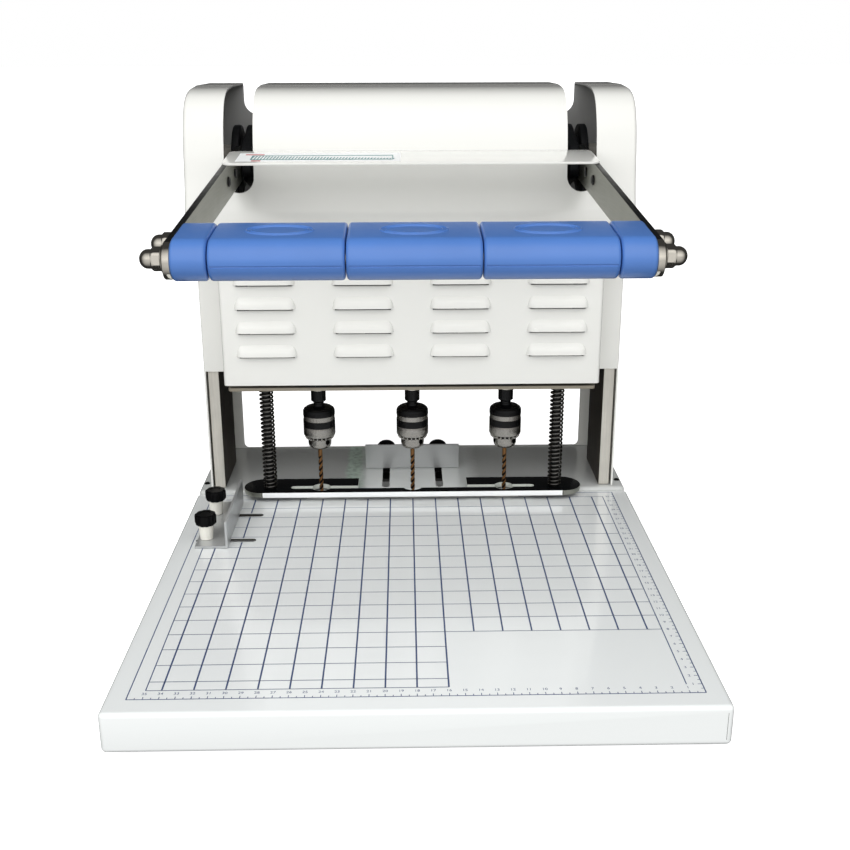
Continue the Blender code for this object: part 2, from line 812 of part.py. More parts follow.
def make_rear_panel():
    # A sheet from the base to the hood, with a window and an opening for the power inlet.
    side = cover_side - cover_sheet - seat_gap
    outline = rectangle(-side, side, base_top_z + seat_gap, seam_z - seat_gap)
    window = rounded_rectangle(-window_half_width, window_half_width, table_z + window_low,
                               table_z + window_high, window_round)
    left, right, low, high = inlet_block()
    opening = rectangle(left - seat_gap, right + seat_gap, low - seat_gap, high + seat_gap)
    flat("rear_panel", [outline, window, opening], cover_sheet, facing_front,
         (0, cover_rear_y - cover_sheet / 2, 0), white_paint)


def make_power_inlet():
    # A block through the panel with a rim outside it, a hollow with three pins for the plug, and
    # above that a pocket for the switch.
    left, right, low, high = inlet_block()
    level = table_z + inlet_level
    rear = cover_rear_y + seat_gap
    block = box("power_inlet", (left, rear - inlet_depth, low),
                (right, rear + inlet_rim_thickness / 2, high), black_plastic)
    rim = box("inlet_rim", (left - inlet_rim, rear, low - inlet_rim),
              (right + inlet_rim, rear + inlet_rim_thickness, high + inlet_rim), None, group=cutters)
    hollow = box("inlet_hollow", (left + inlet_wall, rear - inlet_depth + inlet_wall,
                                  level - socket_height / 2),
                 (right - inlet_wall, rear + overrun, level + socket_height / 2), None,
                 group=cutters)
    tall = rocker_height / 2 + turn_gap
    pocket = box("rocker_pocket", (left + inlet_wall, rear - rocker_pocket,
                                   level + rocker_rise - tall),
                 (right - inlet_wall, rear + overrun, level + rocker_rise + tall), None,
                 group=cutters)
    join(block, rim)
    cut(block, hollow, pocket)
    for number, way in enumerate((-1, 0, 1)):
        start = rear - inlet_depth + inlet_wall / 2
        centre = (inlet_side + way * pin_spacing, 0, level + (way == 0) * pin_rise)
        join(block, cylinder(f"inlet_pin_{number}", pin_radius, start, start + pin_length, "Y",
                             centre, None, group=cutters, steps=nut_steps))


def make_rocker():
    # It turns about a line along X. Its lower end is pressed and its upper end stands out.
    # Its ends stay inside the circle that they turn in.
    tall, back = rocker_height / 2, rocker_back_height / 2
    outline = [(-rocker_depth, -back), (0, -tall),
               (rocker_rest, -math.sqrt(tall ** 2 - rocker_rest ** 2)), (rocker_dip, 0),
               (rocker_raised, math.sqrt(tall ** 2 - rocker_raised ** 2)), (0, tall),
               (-rocker_depth, back)]
    width = inlet_width - 2 * inlet_wall - 2 * turn_gap
    flat("switch_rocker", [outline], width, facing_side,
         (inlet_side, cover_rear_y, table_z + inlet_level + rocker_rise), black_plastic)


def make_rails():
    for side, way in sides():
        inner = column_inner - seat_gap - rail_thickness
        x = (way * inner, way * (column_inner - seat_gap))
        y = base_y + rail_inset
        box(f"guide_rail_{side}", (min(x), y - rail_width / 2, table_z + rail_low),
            (max(x), y + rail_width / 2, table_z + rail_high), bright_steel)


def handle_frame():
    # The handle's pieces hang on this axis: back along the arms, up square to them.
    axis = bpy.data.objects.new("handle_axis", None)
    axis.location = (0, pivot_y, pivot_z)
    axis.rotation_euler = (handle_tilt, 0, 0)
    parts.objects.link(axis)
    return axis


def make_arms(axis):
    # Each arm is the band around its front and rear circles, which share one level top edge.
    front = (-arm_front_reach, arm_top - arm_front_radius)
    rear = (-arm_rear_reach, arm_top - arm_rear_radius)
    outline = around_two(front, arm_front_radius, rear, arm_rear_radius)
    hole = rod_radius + seat_gap
    loops = [outline, circle((-rod_front_reach, grip_rise), hole, hole_steps),
             circle((-rod_rear_reach, grip_rise), hole, hole_steps),
             circle((-arm_hole_reach, arm_hole_level), arm_hole_radius, hole_steps)]
    for way in (-1, 1):
        loops.append(circle((-arm_pair_reach, arm_pair_level + way * arm_pair_spacing / 2),
                            arm_pair_radius, nut_steps))
    for side, way in sides():
        flat(f"arm_{side}", loops, arm_thickness, facing_side, (way * arm_middle, 0, 0), nickel, axis)


def make_brace(axis):
    outline = rectangle(-arm_outer, arm_outer, -brace_front_reach, -brace_rear_reach)
    level = arm_top + seat_gap + brace_thickness / 2
    flat("brace_plate", [outline], brace_thickness, facing_up, (0, 0, level), white_paint, axis)


def make_grips(axis):
    # Five blue segments side by side on the two rods, the long ones with a fine groove at the front.
    front, rear = (-rod_front_reach, grip_rise), (-rod_rear_reach, grip_rise)
    outline = around_two(front, grip_half_height, rear, grip_half_height)
    hole = rod_radius + seat_gap
    loops = [outline, circle(front, hole, hole_steps), circle(rear, hole, hole_steps)]
    names = ("grip_end_left", "grip_left", "grip_middle", "grip_right", "grip_end_right")
    lengths = [grip_end_length] + [grip_length] * long_grips + [grip_end_length]
    start = -grip_span / 2
    for name, length in zip(names, lengths):
        flat(name, loops, length, facing_side, (start + length / 2, 0, 0), blue_plastic, axis,
             bevel=grip_groove)
        start += length + grip_gap


def make_grip_rods(axis):
    # Each rod ends outside both arms in a washer, a hexagon and a domed cap.
    for name, reach in (("front", rod_front_reach), ("rear", rod_rear_reach)):
        start = arm_outer + seat_gap
        nut_start = start + washer_thickness
        dome_start = nut_start + nut_height
        half = start + washer_thickness / 2
        rod = cylinder(f"grip_rod_{name}", rod_radius, -half, half, "X", (0, -reach, grip_rise),
                       nickel, axis, steps=hole_steps)
        for side, way in sides():
            ends = (way * start, way * (nut_start + seat_gap))
            washer = cylinder(f"washer_{name}_{side}", washer_radius, min(ends), max(ends), "X",
                              (0, -reach, grip_rise), None, axis, cutters, steps=small_steps)
            ends = (way * nut_start, way * (dome_start + seat_gap))
            nut = cylinder(f"nut_{name}_{side}", nut_across_flats / math.sqrt(3), min(ends), max(ends),
                           "X", (0, -reach, grip_rise), None, axis, cutters, steps=nut_steps)
            arch = [(nut_dome_radius * math.cos(a), nut_dome_height * math.sin(a))
                    for a in (math.pi / 2 * (1 - step / corner_steps)
                              for step in range(corner_steps + 1))]
            dome = turned(f"dome_{name}_{side}", arch + [(nut_dome_radius, -seat_gap * 2),
                                                         (0, -seat_gap * 2)],
                          (way * dome_start, -reach, grip_rise), None, axis, cutters,
                          steps=hole_steps, turn=(0, way * math.pi / 2, 0))
            join(rod, washer, nut, dome)


def make_cranks(axis):
    # A casting on the shaft: the arm's rear end lies between its two flanges, and the outer
    # flange reaches down to the pin that moves the head.
    lug = (-crank_lug_reach, arm_top - arm_rear_radius)
    slant = math.asin(crank_pin_drop / crank_pin_throw) - handle_tilt
    pin = (-crank_pin_throw * math.cos(slant), -crank_pin_throw * math.sin(slant))
    inner_side = arm_outer - arm_thickness - seat_gap
    outer_side = arm_outer + seat_gap
    first = inner_side - crank_inner_flange
    last = outer_side + crank_outer_flange
    for side, way in sides():
        start, end = first + crank_inner_flange / 2, last - crank_outer_flange / 2
        sleeve = flat(f"crank_{side}", [circle((0, 0), crank_sleeve_radius)], end - start,
                      facing_side, (way * (start + end) / 2, 0, 0), cast_iron, axis)
        inner = flat(f"crank_inner_{side}",
                     [around_two((0, 0), crank_flange_radius, lug, crank_lug_radius)],
                     crank_inner_flange, facing_side,
                     (way * (inner_side - crank_inner_flange / 2), 0, 0), None, axis, cutters)
        outer = flat(f"crank_outer_{side}",
                     [around_two((0, 0), crank_flange_radius, pin, crank_lobe_radius)],
                     crank_outer_flange, facing_side,
                     (way * (outer_side + crank_outer_flange / 2), 0, 0), None, axis, cutters)
        ends = (way * (last - crank_outer_flange / 2), way * (last + crank_pin_length))
        stud = cylinder(f"crank_pin_{side}", crank_pin_radius, min(ends), max(ends), "X",
                        (0, *pin), None, axis, cutters, steps=small_steps)
        through = (way * (first - overrun), way * (last + overrun))
        bore = cylinder(f"crank_bore_{side}", shaft_radius + seat_gap, min(through), max(through),
                        "X", (0, 0, 0), None, axis, cutters)
        join(sleeve, inner, outer, stud)
        cut(sleeve, bore)


def make_shaft(axis):
    half = column_outer
    cylinder("pivot_shaft", shaft_radius, -half, half, "X", (0, 0, 0), bright_steel, axis)


def make_head_plate():
    rear = cover_rear_y - head_rear_room
    front = base_y - head_reach
    outline = rectangle(-head_half_width, head_half_width, front, rear)
    holes = [circle((way * drill_spacing, drill_y), spindle_radius + turn_gap) for way in (-1, 0, 1)]
    holes += [circle((way * clamp_rod_side, drill_y), clamp_rod_radius + turn_gap, small_steps)
              for way in (-1, 1)]
    flat("head_plate", [outline] + holes, head_thickness, facing_up,
         (0, 0, head_z + head_thickness / 2), bright_steel)


def make_head_brackets():
    # An upright on each end of the head plate, with a slide block on the rail and, in front,
    # a yoke whose level slot takes the crank's pin.
    low = head_top_z + seat_gap
    pin_z = pivot_z - crank_pin_drop
    pin_y = pivot_y - math.sqrt(crank_pin_throw ** 2 - crank_pin_drop ** 2)
    slot_front = pivot_y - crank_pin_throw - crank_pin_radius - turn_gap
    slot_rear = pin_y + crank_pin_radius + yoke_back
    slot_half = crank_pin_radius + yoke_play + turn_gap
    slot = rectangle(slot_front, slot_rear, pin_z - slot_half, pin_z + slot_half)
    rear = base_y + bracket_rear_reach
    front, neck_rear = slot_front - yoke_wall, slot_rear + yoke_wall
    shoulder, top = low + bracket_low_height, pin_z + slot_half + yoke_wall
    outline = [(front, low), (rear, low), (rear, shoulder), (neck_rear, shoulder), (neck_rear, top),
               (front, top)]
    rail_y = base_y + rail_inset
    for side, way in sides():
        bracket = flat(f"head_bracket_{side}", [outline, slot], bracket_thickness, facing_side,
                       (way * bracket_middle, 0, 0), cast_iron)
        reach = column_inner - 2 * seat_gap - rail_thickness
        x = (way * (bracket_outer - seat_gap), way * reach)
        block = box(f"slide_block_{side}", (min(x), rail_y - block_width / 2, low + block_lift),
                    (max(x), rail_y + block_width / 2, low + block_lift + block_height), None,
                    group=cutters)
        join(bracket, block)


def make_spindle_housing():
    # One casting on the head plate: three round towers on a bar, each bored for a spindle.
    low = head_top_z + seat_gap
    span = drill_spacing
    bar = box("spindle_housing", (-span, drill_y - housing_web / 2, low),
              (span, drill_y + housing_web / 2, low + housing_web_height), cast_iron)
    for number, way in enumerate((-1, 0, 1)):
        join(bar, cylinder(f"tower_{number}", housing_radius, low, low + housing_height, "Z",
                           (way * span, drill_y, 0), None, group=cutters, steps=fine_steps))
    for number, way in enumerate((-1, 0, 1)):
        cut(bar, cylinder(f"tower_bore_{number}", spindle_radius + turn_gap, low - overrun,
                          low + housing_height + overrun, "Z", (way * span, drill_y, 0), None,
                          group=cutters))


def groove(radius, depth_radius, level):
    # One belt groove of a pulley, from its upper lip to its lower one.
    half = belt_width / 2 + turn_gap
    return [(radius, level + half + pulley_lip), (radius, level + half), (depth_radius, level + half),
            (depth_radius, level - half), (radius, level - half), (radius, level - half - pulley_lip)]


def make_spindle(side, way, levels):
    # A shaft with a narrow waist above the chuck and a grooved pulley for each belt on it.
    shaft = spindle_radius
    top = belt_z[max(levels)] + belt_width / 2 + turn_gap + pulley_lip
    profile = [(0, top)]
    for level in sorted(levels, reverse=True):
        profile += groove(pulley_radius, groove_radius, belt_z[level])
        if level - 1 not in levels and level != min(levels):
            profile += [(shaft, belt_z[level] - belt_width / 2 - turn_gap - pulley_lip)]
    foot = belt_z[min(levels)] - belt_width / 2 - turn_gap - pulley_lip
    neck = table_z + spindle_neck_low
    profile += [(shaft, foot), (shaft, neck), (spindle_waist_radius, neck - spindle_shoulder),
                (spindle_waist_radius, table_z + spindle_end), (0, table_z + spindle_end)]
    turned(f"spindle_{side}", profile, (way * drill_spacing, drill_y, 0), dark_steel)


def make_chuck(side, way):
    # The crown curves out to the body, which steps in to a tapering nose with the drill's bore.
    bore = drill_radius + drill_bore_gap
    crown = chuck_top - chuck_rim_level
    rim = chuck_radius - chuck_crown_radius
    profile = [(0, chuck_top), (chuck_crown_radius, chuck_top)]
    profile += [(chuck_crown_radius + rim * math.sin(a), chuck_rim_level + crown * math.cos(a))
                for a in (math.pi / 2 * step / end_steps for step in range(1, end_steps + 1))]
    profile += [(chuck_radius, chuck_low), (nose_radius, chuck_low - chuck_step),
                (nose_radius, nose_taper_level), (nose_end_radius, nose_end), (bore, nose_end),
                (bore, nose_end + chuck_bore_depth), (0, nose_end + chuck_bore_depth)]
    turned(f"chuck_{side}", profile, (way * drill_spacing, drill_y, table_z), nickel)


def make_drill(side, way):
    # A twist drill: an oblong section with two flutes that turns as it rises, on a short point.
    top = nose_end + chuck_bore_depth - drill_bore_gap
    low = drill_tip + drill_point
    count = hole_steps
    mesh = bmesh.new()
    loops = []
    for ring in range(drill_rings + 1):
        height = low + (top - low) * ring / drill_rings
        turn = 2 * math.pi * (height - low) / drill_twist_pitch
        loop = []
        for step in range(count):
            angle = 2 * math.pi * step / count
            hollow = 1 - (1 - drill_web_share) * math.sin(angle) ** 4
            radius = drill_radius * hollow
            loop.append(mesh.verts.new((radius * math.cos(angle + turn),
                                        radius * math.sin(angle + turn), height)))
        loops.append(loop)
    for lower, upper in zip(loops, loops[1:]):
        for step in range(count):
            after = (step + 1) % count
            mesh.faces.new((lower[step], lower[after], upper[after], upper[step]))
    mesh.faces.new(loops[-1])
    point = mesh.verts.new((0, 0, drill_tip))
    for step in range(count):
        mesh.faces.new((loops[0][(step + 1) % count], loops[0][step], point))
    from_bmesh(f"drill_bit_{side}", mesh, (way * drill_spacing, drill_y, table_z), gold_steel)


def make_motor():
    low = head_top_z + seat_gap
    high = low + motor_height
    hole = motor_shaft_radius + turn_gap
    profile = [(0, high - motor_shaft_depth), (hole, high - motor_shaft_depth), (hole, high),
               (motor_radius - motor_round, high), (motor_radius, high - motor_round),
               (motor_radius, low), (0, low)]
    turned("motor", profile, (0, motor_y, 0), cast_iron, steps=fine_steps)
    foot = belt_z[0] - belt_width / 2 - turn_gap - pulley_lip
    top = belt_z[0] + belt_width / 2 + turn_gap + pulley_lip
    shaft_end = high - motor_shaft_depth + turn_gap
    profile = [(0, top)] + groove(motor_pulley_radius, motor_groove_radius, belt_z[0])
    profile += [(motor_shaft_radius, foot), (motor_shaft_radius, shaft_end), (0, shaft_end)]
    turned("motor_pulley", profile, (0, motor_y, 0), bright_steel)


def make_belt(name, level, first, first_radius, second, second_radius):
    # A flat belt pulled around the grooves of two pulleys.
    grow = seat_gap + belt_thickness
    outer = around_two(first, first_radius + grow, second, second_radius + grow, small_steps)
    inner = around_two(first, first_radius + seat_gap, second, second_radius + seat_gap, small_steps)
    flat(name, [outer, inner], belt_width, facing_up, (0, 0, belt_z[level]), rubber)


def make_drilling_gear():
    for side, way, levels in (("left", -1, [1]), ("middle", 0, [0, 1, 2]), ("right", 1, [2])):
        make_spindle(side, way, levels)
        make_chuck(side, way)
        make_drill(side, way)
    make_motor()
    middle = (0, drill_y)
    make_belt("motor_belt", 0, (0, motor_y), motor_groove_radius, middle, groove_radius)
    make_belt("left_belt", 1, (-drill_spacing, drill_y), groove_radius, middle, groove_radius)
    make_belt("right_belt", 2, middle, groove_radius, (drill_spacing, drill_y), groove_radius)


def make_clamp_plate():
    # Round-ended, with a slot and an eye for each outer drill that open into a wide rear notch.
    middle_y = drill_y + clamp_offset
    end = clamp_half_width - clamp_half_depth
    outline = around_two((-end, middle_y), clamp_half_depth, (end, middle_y), clamp_half_depth)
    plate = flat("clamp_plate", [outline], clamp_thickness, facing_up,
                 (0, 0, clamp_z + clamp_thickness / 2), dark_steel)
    deep = 2 * (clamp_thickness + overrun)
    half = clamp_slot_width / 2
    notch = rectangle(-clamp_notch_half_width, clamp_notch_half_width, drill_y - half,
                      middle_y + clamp_half_depth + overrun)
    cut(plate, flat("clamp_notch", [notch], deep, facing_up, (0, 0, clamp_z), None, group=cutters))
    cut(plate, cylinder("clamp_eye_middle", clamp_eye_radius, clamp_z - overrun,
                        clamp_top_z + overrun, "Z", (0, drill_y, 0), None, group=cutters))
    for side, way in sides():
        x = way * drill_spacing
        slot = around_two((way * (clamp_slot_end - half), drill_y), half,
                          (way * (clamp_notch_half_width - overrun), drill_y), half,
                          end_steps)
        cut(plate, flat(f"clamp_slot_{side}", [slot], deep, facing_up, (0, 0, clamp_z), None,
                        group=cutters))
        cut(plate, cylinder(f"clamp_eye_{side}", clamp_eye_radius, clamp_z - overrun,
                            clamp_top_z + overrun, "Z", (x, drill_y, 0), None, group=cutters))


def make_clamp_rods():
    # Each rod stands on the clamp plate and hangs by its collar on the head plate.
    low = clamp_top_z + seat_gap
    stop = head_top_z + seat_gap
    top = stop + clamp_collar_height
    profile = [(0, top), (clamp_collar_radius, top), (clamp_collar_radius, stop),
               (clamp_rod_radius, stop), (clamp_rod_radius, low), (0, low)]
    for side, way in sides():
        turned(f"clamp_rod_{side}", profile, (way * clamp_rod_side, drill_y, 0), bright_steel,
               steps=small_steps)
        coil(f"clamp_spring_{side}", spring_radius, spring_wire, low, head_z - seat_gap, spring_turns,
             (way * clamp_rod_side, drill_y, 0), dark_steel)


def make_side_guide():
    # An angle: its fence stands on the inner edge, its flange lies on the table, and two studs
    # with nuts under the table pass through the slots.
    start = front_y + guide_front
    low = table_z + seat_gap
    fence = box("side_guide", (-guide_fence_side, start, low),
                (-guide_fence_side + guide_sheet, start + guide_length, low + guide_height), aluminium)
    flange = box("guide_flange", (-guide_fence_side - guide_flange, start, low),
                 (-guide_fence_side + seat_gap, start + guide_length, low + guide_sheet), None,
                 group=cutters)
    join(fence, flange)
    under = table_z - table_sheet - seat_gap
    for row, name in enumerate(("front", "rear")):
        y = start + guide_knob_first + row * guide_knob_spacing
        centre = (-guide_knob_side, y, 0)
        join(fence, cylinder(f"guide_stud_{name}", guide_stud_radius, under - guide_nut_thickness / 2,
                             low + guide_sheet + guide_stud_height, "Z", centre, None, group=cutters,
                             steps=small_steps),
             cylinder(f"guide_nut_{name}", guide_nut_radius, under - guide_nut_thickness, under, "Z",
                      centre, None, group=cutters, steps=nut_steps))
        seat = low + guide_sheet + seat_gap
        neck = seat + guide_collar_height
        top = neck + guide_knob_height
        bore = guide_stud_radius + turn_gap
        bore_top = low + guide_sheet + guide_stud_height + turn_gap
        chamfer = guide_knob_chamfer
        profile = [(0, top), (guide_knob_radius - chamfer, top), (guide_knob_radius, top - chamfer),
                   (guide_knob_radius, neck), (guide_collar_radius, neck),
                   (guide_collar_top_radius, seat), (bore, seat), (bore, bore_top), (0, bore_top)]
        turned(f"guide_knob_{name}", profile, centre, black_plastic)


def make_back_stop():
    # An angle: the fence faces the front and the flange behind it carries two knobs on studs.
    front = base_y + stop_setback
    low = base_top_z + seat_gap
    fence = box("back_stop", (-stop_half_width, front, low),
                (stop_half_width, front + stop_sheet, low + stop_height), aluminium)
    flange = box("stop_flange", (-stop_half_width, front + stop_sheet - seat_gap, low),
                 (stop_half_width, front + stop_flange, low + stop_sheet), None, group=cutters)
    join(fence, flange)
    under = base_top_z - base_sheet - seat_gap
    y = front + stop_knob_setback
    for side, way in sides():
        centre = (way * stop_slot_spacing / 2, y, 0)
        join(fence, cylinder(f"stop_stud_{side}", guide_stud_radius, under - guide_nut_thickness / 2,
                             low + stop_sheet + guide_stud_height, "Z", centre, None, group=cutters,
                             steps=small_steps),
             cylinder(f"stop_nut_{side}", guide_nut_radius, under - guide_nut_thickness, under, "Z",
                      centre, None, group=cutters, steps=nut_steps))
        seat = low + stop_sheet + seat_gap
        top = seat + stop_knob_height
        neck = seat + stop_neck_height
        bore = guide_stud_radius + turn_gap
        bore_top = low + stop_sheet + guide_stud_height + turn_gap
        profile = [(stop_knob_radius * math.sin(a), top - stop_knob_dome * (1 - math.cos(a)))
                   for a in (math.pi / 2 * step / end_steps for step in range(end_steps + 1))]
        profile += [(stop_knob_radius, neck), (stop_neck_radius, neck), (stop_neck_radius, seat), (bore, seat),
                    (bore, bore_top), (0, bore_top)]
        turned(f"stop_knob_{side}", profile, centre, black_plastic)


make_table()
make_cutting_strip()
make_base()
make_feet()
make_columns()
make_hood()
make_side_covers()
make_louvre_cover()
make_rear_panel()
make_power_inlet()
make_rocker()
make_rails()
handle_axis = handle_frame()
make_arms(handle_axis)
make_brace(handle_axis)
make_grips(handle_axis)
make_grip_rods(handle_axis)
make_cranks(handle_axis)
make_shaft(handle_axis)
make_head_plate()
make_head_brackets()
make_spindle_housing()
make_drilling_gear()
make_clamp_plate()
make_clamp_rods()
make_side_guide()
make_back_stop()
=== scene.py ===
import json
import math

import bmesh
import bpy
import numpy as np
from mathutils import Matrix, Vector


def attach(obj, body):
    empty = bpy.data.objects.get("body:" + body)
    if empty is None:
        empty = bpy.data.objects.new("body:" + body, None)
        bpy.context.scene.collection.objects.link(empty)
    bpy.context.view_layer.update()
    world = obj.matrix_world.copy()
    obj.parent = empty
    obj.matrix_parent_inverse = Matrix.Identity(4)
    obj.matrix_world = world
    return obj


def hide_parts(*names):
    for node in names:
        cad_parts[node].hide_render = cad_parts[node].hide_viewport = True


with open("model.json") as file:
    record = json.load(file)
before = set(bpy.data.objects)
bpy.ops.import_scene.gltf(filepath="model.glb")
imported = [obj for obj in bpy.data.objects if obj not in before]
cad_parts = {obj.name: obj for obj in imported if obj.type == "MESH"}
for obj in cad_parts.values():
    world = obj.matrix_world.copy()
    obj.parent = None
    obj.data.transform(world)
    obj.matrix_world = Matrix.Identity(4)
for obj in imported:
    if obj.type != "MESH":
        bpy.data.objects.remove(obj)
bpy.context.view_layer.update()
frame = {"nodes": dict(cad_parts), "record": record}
nodes = frame["nodes"]
print("frame loaded with", len(nodes), "nodes")

# Metres, as in the solids: +X right, +Y back, +Z up, origin on the floor under the middle.
machine = {
    "tableZ": 0.033,
    "drillY": 0.1075,
    "drillX": {"left": -0.0817, "middle": 0.0, "right": 0.0817},
    "pivot": (0.0, 0.1545, 0.327),
    "tilt": math.radians(5.53),      # by which the arms fall towards the front
    "seamZ": 0.2767,                 # where the covers meet
}
sides = (("left", -1), ("right", 1))
around = 2 * math.pi
quarter = math.pi / 2
sharpAngle = math.radians(32)        # an edge that turns further than this is shaded sharp
past = 0.002                         # by which a cutter passes the faces that it cuts
sheetEdge = 0.0003                   # rounding of the edges of bent sheet
insideFrom = 0.4                     # share of a sheet's thickness below which its faces are the inside's
bodyOf = {node: body for body, members in frame["record"]["behaviour"]["bodies"].items() for node in members}
finishes = {}


def link(piece):
    # Puts an object into the scene.
    bpy.context.scene.collection.objects.link(piece)
    return piece


def gridFaces(rows, columns, closeRows=False):
    # Joins each point of a grid to its next neighbours both ways. Columns wrap round, rows where closed.
    r, c = np.meshgrid(np.arange(rows if closeRows else rows - 1), np.arange(columns), indexing="ij")
    r2, c2 = (r + 1) % rows, (c + 1) % columns
    quads = np.stack([r * columns + c, r * columns + c2, r2 * columns + c2, r2 * columns + c], -1)
    return quads.reshape(-1, 4).tolist()


def onArms(points):
    # From the level frame at the shaft to the tilted arms: a turn about X, then a shift to the pivot.
    x, y, z = points.T
    c, s = math.cos(machine["tilt"]), math.sin(machine["tilt"])
    _, pivotY, pivotZ = machine["pivot"]
    return np.stack([x, pivotY + y * c - z * s, pivotZ + y * s + z * c], 1)


def meshPiece(name, points, faces, finish=None, smooth=True, tilted=False):
    # A piece from an array of points and a list of faces, welded, with its faces turned outwards.
    points = np.asarray(points, float).reshape(-1, 3)
    data = bpy.data.meshes.new(name)
    data.from_pydata((onArms(points) if tilted else points).tolist(), [], faces)
    shape = bmesh.new()
    shape.from_mesh(data)
    bmesh.ops.remove_doubles(shape, verts=shape.verts, dist=1e-7)
    bmesh.ops.dissolve_degenerate(shape, edges=shape.edges, dist=1e-8)
    bmesh.ops.recalc_face_normals(shape, faces=shape.faces)
    shape.to_mesh(data)
    shape.free()
    if finish is not None:
        data.materials.append(finishes[finish])
    data.polygons.foreach_set("use_smooth", np.full(len(data.polygons), smooth))
    if smooth:
        data.set_sharp_from_angle(angle=sharpAngle)
    return link(bpy.data.objects.new(name, data))


def ringStack(name, rings, finish=None, closed=False, tilted=False):
    # Rings of points, one after the other, joined to a solid with a face on the first and the last,
    # or to a ring without ends where closed.
    rings = np.asarray(rings, float)
    count, size = rings.shape[:2]
    faces = gridFaces(count, size, closed)
    if not closed:
        faces += [list(range(size))[::-1], list(range((count - 1) * size, count * size))]
    return meshPiece(name, rings, faces, finish, tilted=tilted)


def angles(steps):
    # Even steps round a circle.
    return np.linspace(0, around, steps, endpoint=False)


def spun(name, profile, centre, finish, steps=48, axis="Z", tilted=False, closed=False, flute=1.0):
    # Pairs of radius and height turned about an axis: x = r f cos a, y = r f sin a, z = height, where f
    # is the flute's value. A closed profile makes a ring with a bore.
    profile = np.asarray(profile, float)
    radius = profile[:, :1] * flute
    rings = np.stack([radius * np.cos(angles(steps)), radius * np.sin(angles(steps)),
                      np.repeat(profile[:, 1:2], steps, 1)], -1)
    order = [2, 0, 1] if axis == "X" else [0, 1, 2]
    return ringStack(name, rings[..., order] + np.asarray(centre, float), finish, closed, tilted)


def fluted(profile, limit, wave):
    # The wave for those rings of a profile whose radius is over a limit, and 1 for the others.
    return np.where(np.asarray(profile, float)[:, :1] > limit, wave[None], 1)


def leftTurning(loop):
    # The loop with its inside on the left: twice its area is the sum of x1 y2 - x2 y1.
    loop = np.asarray(loop, float)
    area = np.sum(loop[:, 0] * np.roll(loop[:, 1], -1) - np.roll(loop[:, 0], -1) * loop[:, 1])
    return loop if area > 0 else loop[::-1]


def insetLoop(loop, amount):
    # Moves each point of a loop inwards along the mean of its two edges' normals, by the amount over the
    # cosine of half the angle between them.
    loop = leftTurning(loop)
    ahead, behind = np.roll(loop, -1, 0) - loop, loop - np.roll(loop, 1, 0)
    a = ahead / np.maximum(np.linalg.norm(ahead, axis=1, keepdims=True), 1e-12)
    b = behind / np.maximum(np.linalg.norm(behind, axis=1, keepdims=True), 1e-12)
    normal = np.stack([-(a + b)[:, 1], (a + b)[:, 0]], 1)
    length = np.maximum(np.linalg.norm(normal, axis=1, keepdims=True), 1e-9)
    return loop + normal / length / np.clip(length / 2, 0.35, 1) * amount


def plate(name, loop, low, high, rounding, facing, finish=None, steps=4, tilted=False):
    # An outline given a thickness from low to high along its facing, with rounded edges: for an angle a
    # the inset is r (1 - sin a) and the distance from the face is r (1 - cos a).
    a = np.linspace(0, quarter, steps + 1)
    levels = np.concatenate([low + rounding * (1 - np.cos(a)), high - rounding * (1 - np.cos(a[::-1]))])
    insets = rounding * (1 - np.sin(np.concatenate([a, a[::-1]])))
    order = {"Z": [0, 1, 2], "X": [2, 0, 1], "Y": [0, 2, 1]}[facing]
    rings = []
    for level, inset in zip(levels, insets):
        ring = insetLoop(loop, inset)
        rings.append(np.concatenate([ring, np.full((len(ring), 1), level)], 1)[:, order])
    return ringStack(name, rings, finish, tilted=tilted)


def punch(loop, low, high, facing="Z", tilted=False):
    # A sharp-edged cutter with the given outline, from low to high.
    return plate("cutter", loop, low, high, 0, facing, steps=1, tilted=tilted)


def arcPoints(centre, radius, start, end, steps):
    # Points x + r cos a, y + r sin a, from one angle to another.
    a = np.linspace(start, end, steps + 1)
    return np.stack([centre[0] + radius * np.cos(a), centre[1] + radius * np.sin(a)], 1)


def circle(centre, radius, steps):
    # A full round of the same points, without the last.
    return arcPoints(centre, radius, 0, around, steps)[:-1]


def bandLoop(first, firstRadius, second, secondRadius, steps=16):
    # A band pulled tight round two circles: it leaves them where the radii stand at acos((r1 - r2) / d)
    # to the line through the centres.
    along = np.subtract(second, first)
    heading = math.atan2(along[1], along[0])
    lean = math.acos((firstRadius - secondRadius) / np.hypot(*along))
    return np.concatenate([arcPoints(first, firstRadius, heading + lean, heading + around - lean, steps),
                           arcPoints(second, secondRadius, heading - lean, heading + lean, steps)])


def roundedLoop(left, right, low, high, radius, steps=5):
    # A rectangle with a quarter circle at each corner.
    corners = [(right - radius, high - radius), (left + radius, high - radius),
               (left + radius, low + radius), (right - radius, low + radius)]
    return np.concatenate([arcPoints(corner, radius, i * quarter, (i + 1) * quarter, steps)
                           for i, corner in enumerate(corners)])


def boxCutter(low, high):
    # A sharp box to carve with: its eight corners are the two ends' values taken in every combination.
    pick = np.stack(np.meshgrid([0, 1], [0, 1], [0, 1], indexing="ij"), -1).reshape(-1, 3)
    corners = np.where(pick == 0, np.asarray(low, float), np.asarray(high, float))
    faces = [[0, 1, 3, 2], [4, 6, 7, 5], [0, 4, 5, 1], [2, 3, 7, 6], [0, 2, 6, 4], [1, 5, 7, 3]]
    return meshPiece("cutter", corners, faces, smooth=False)


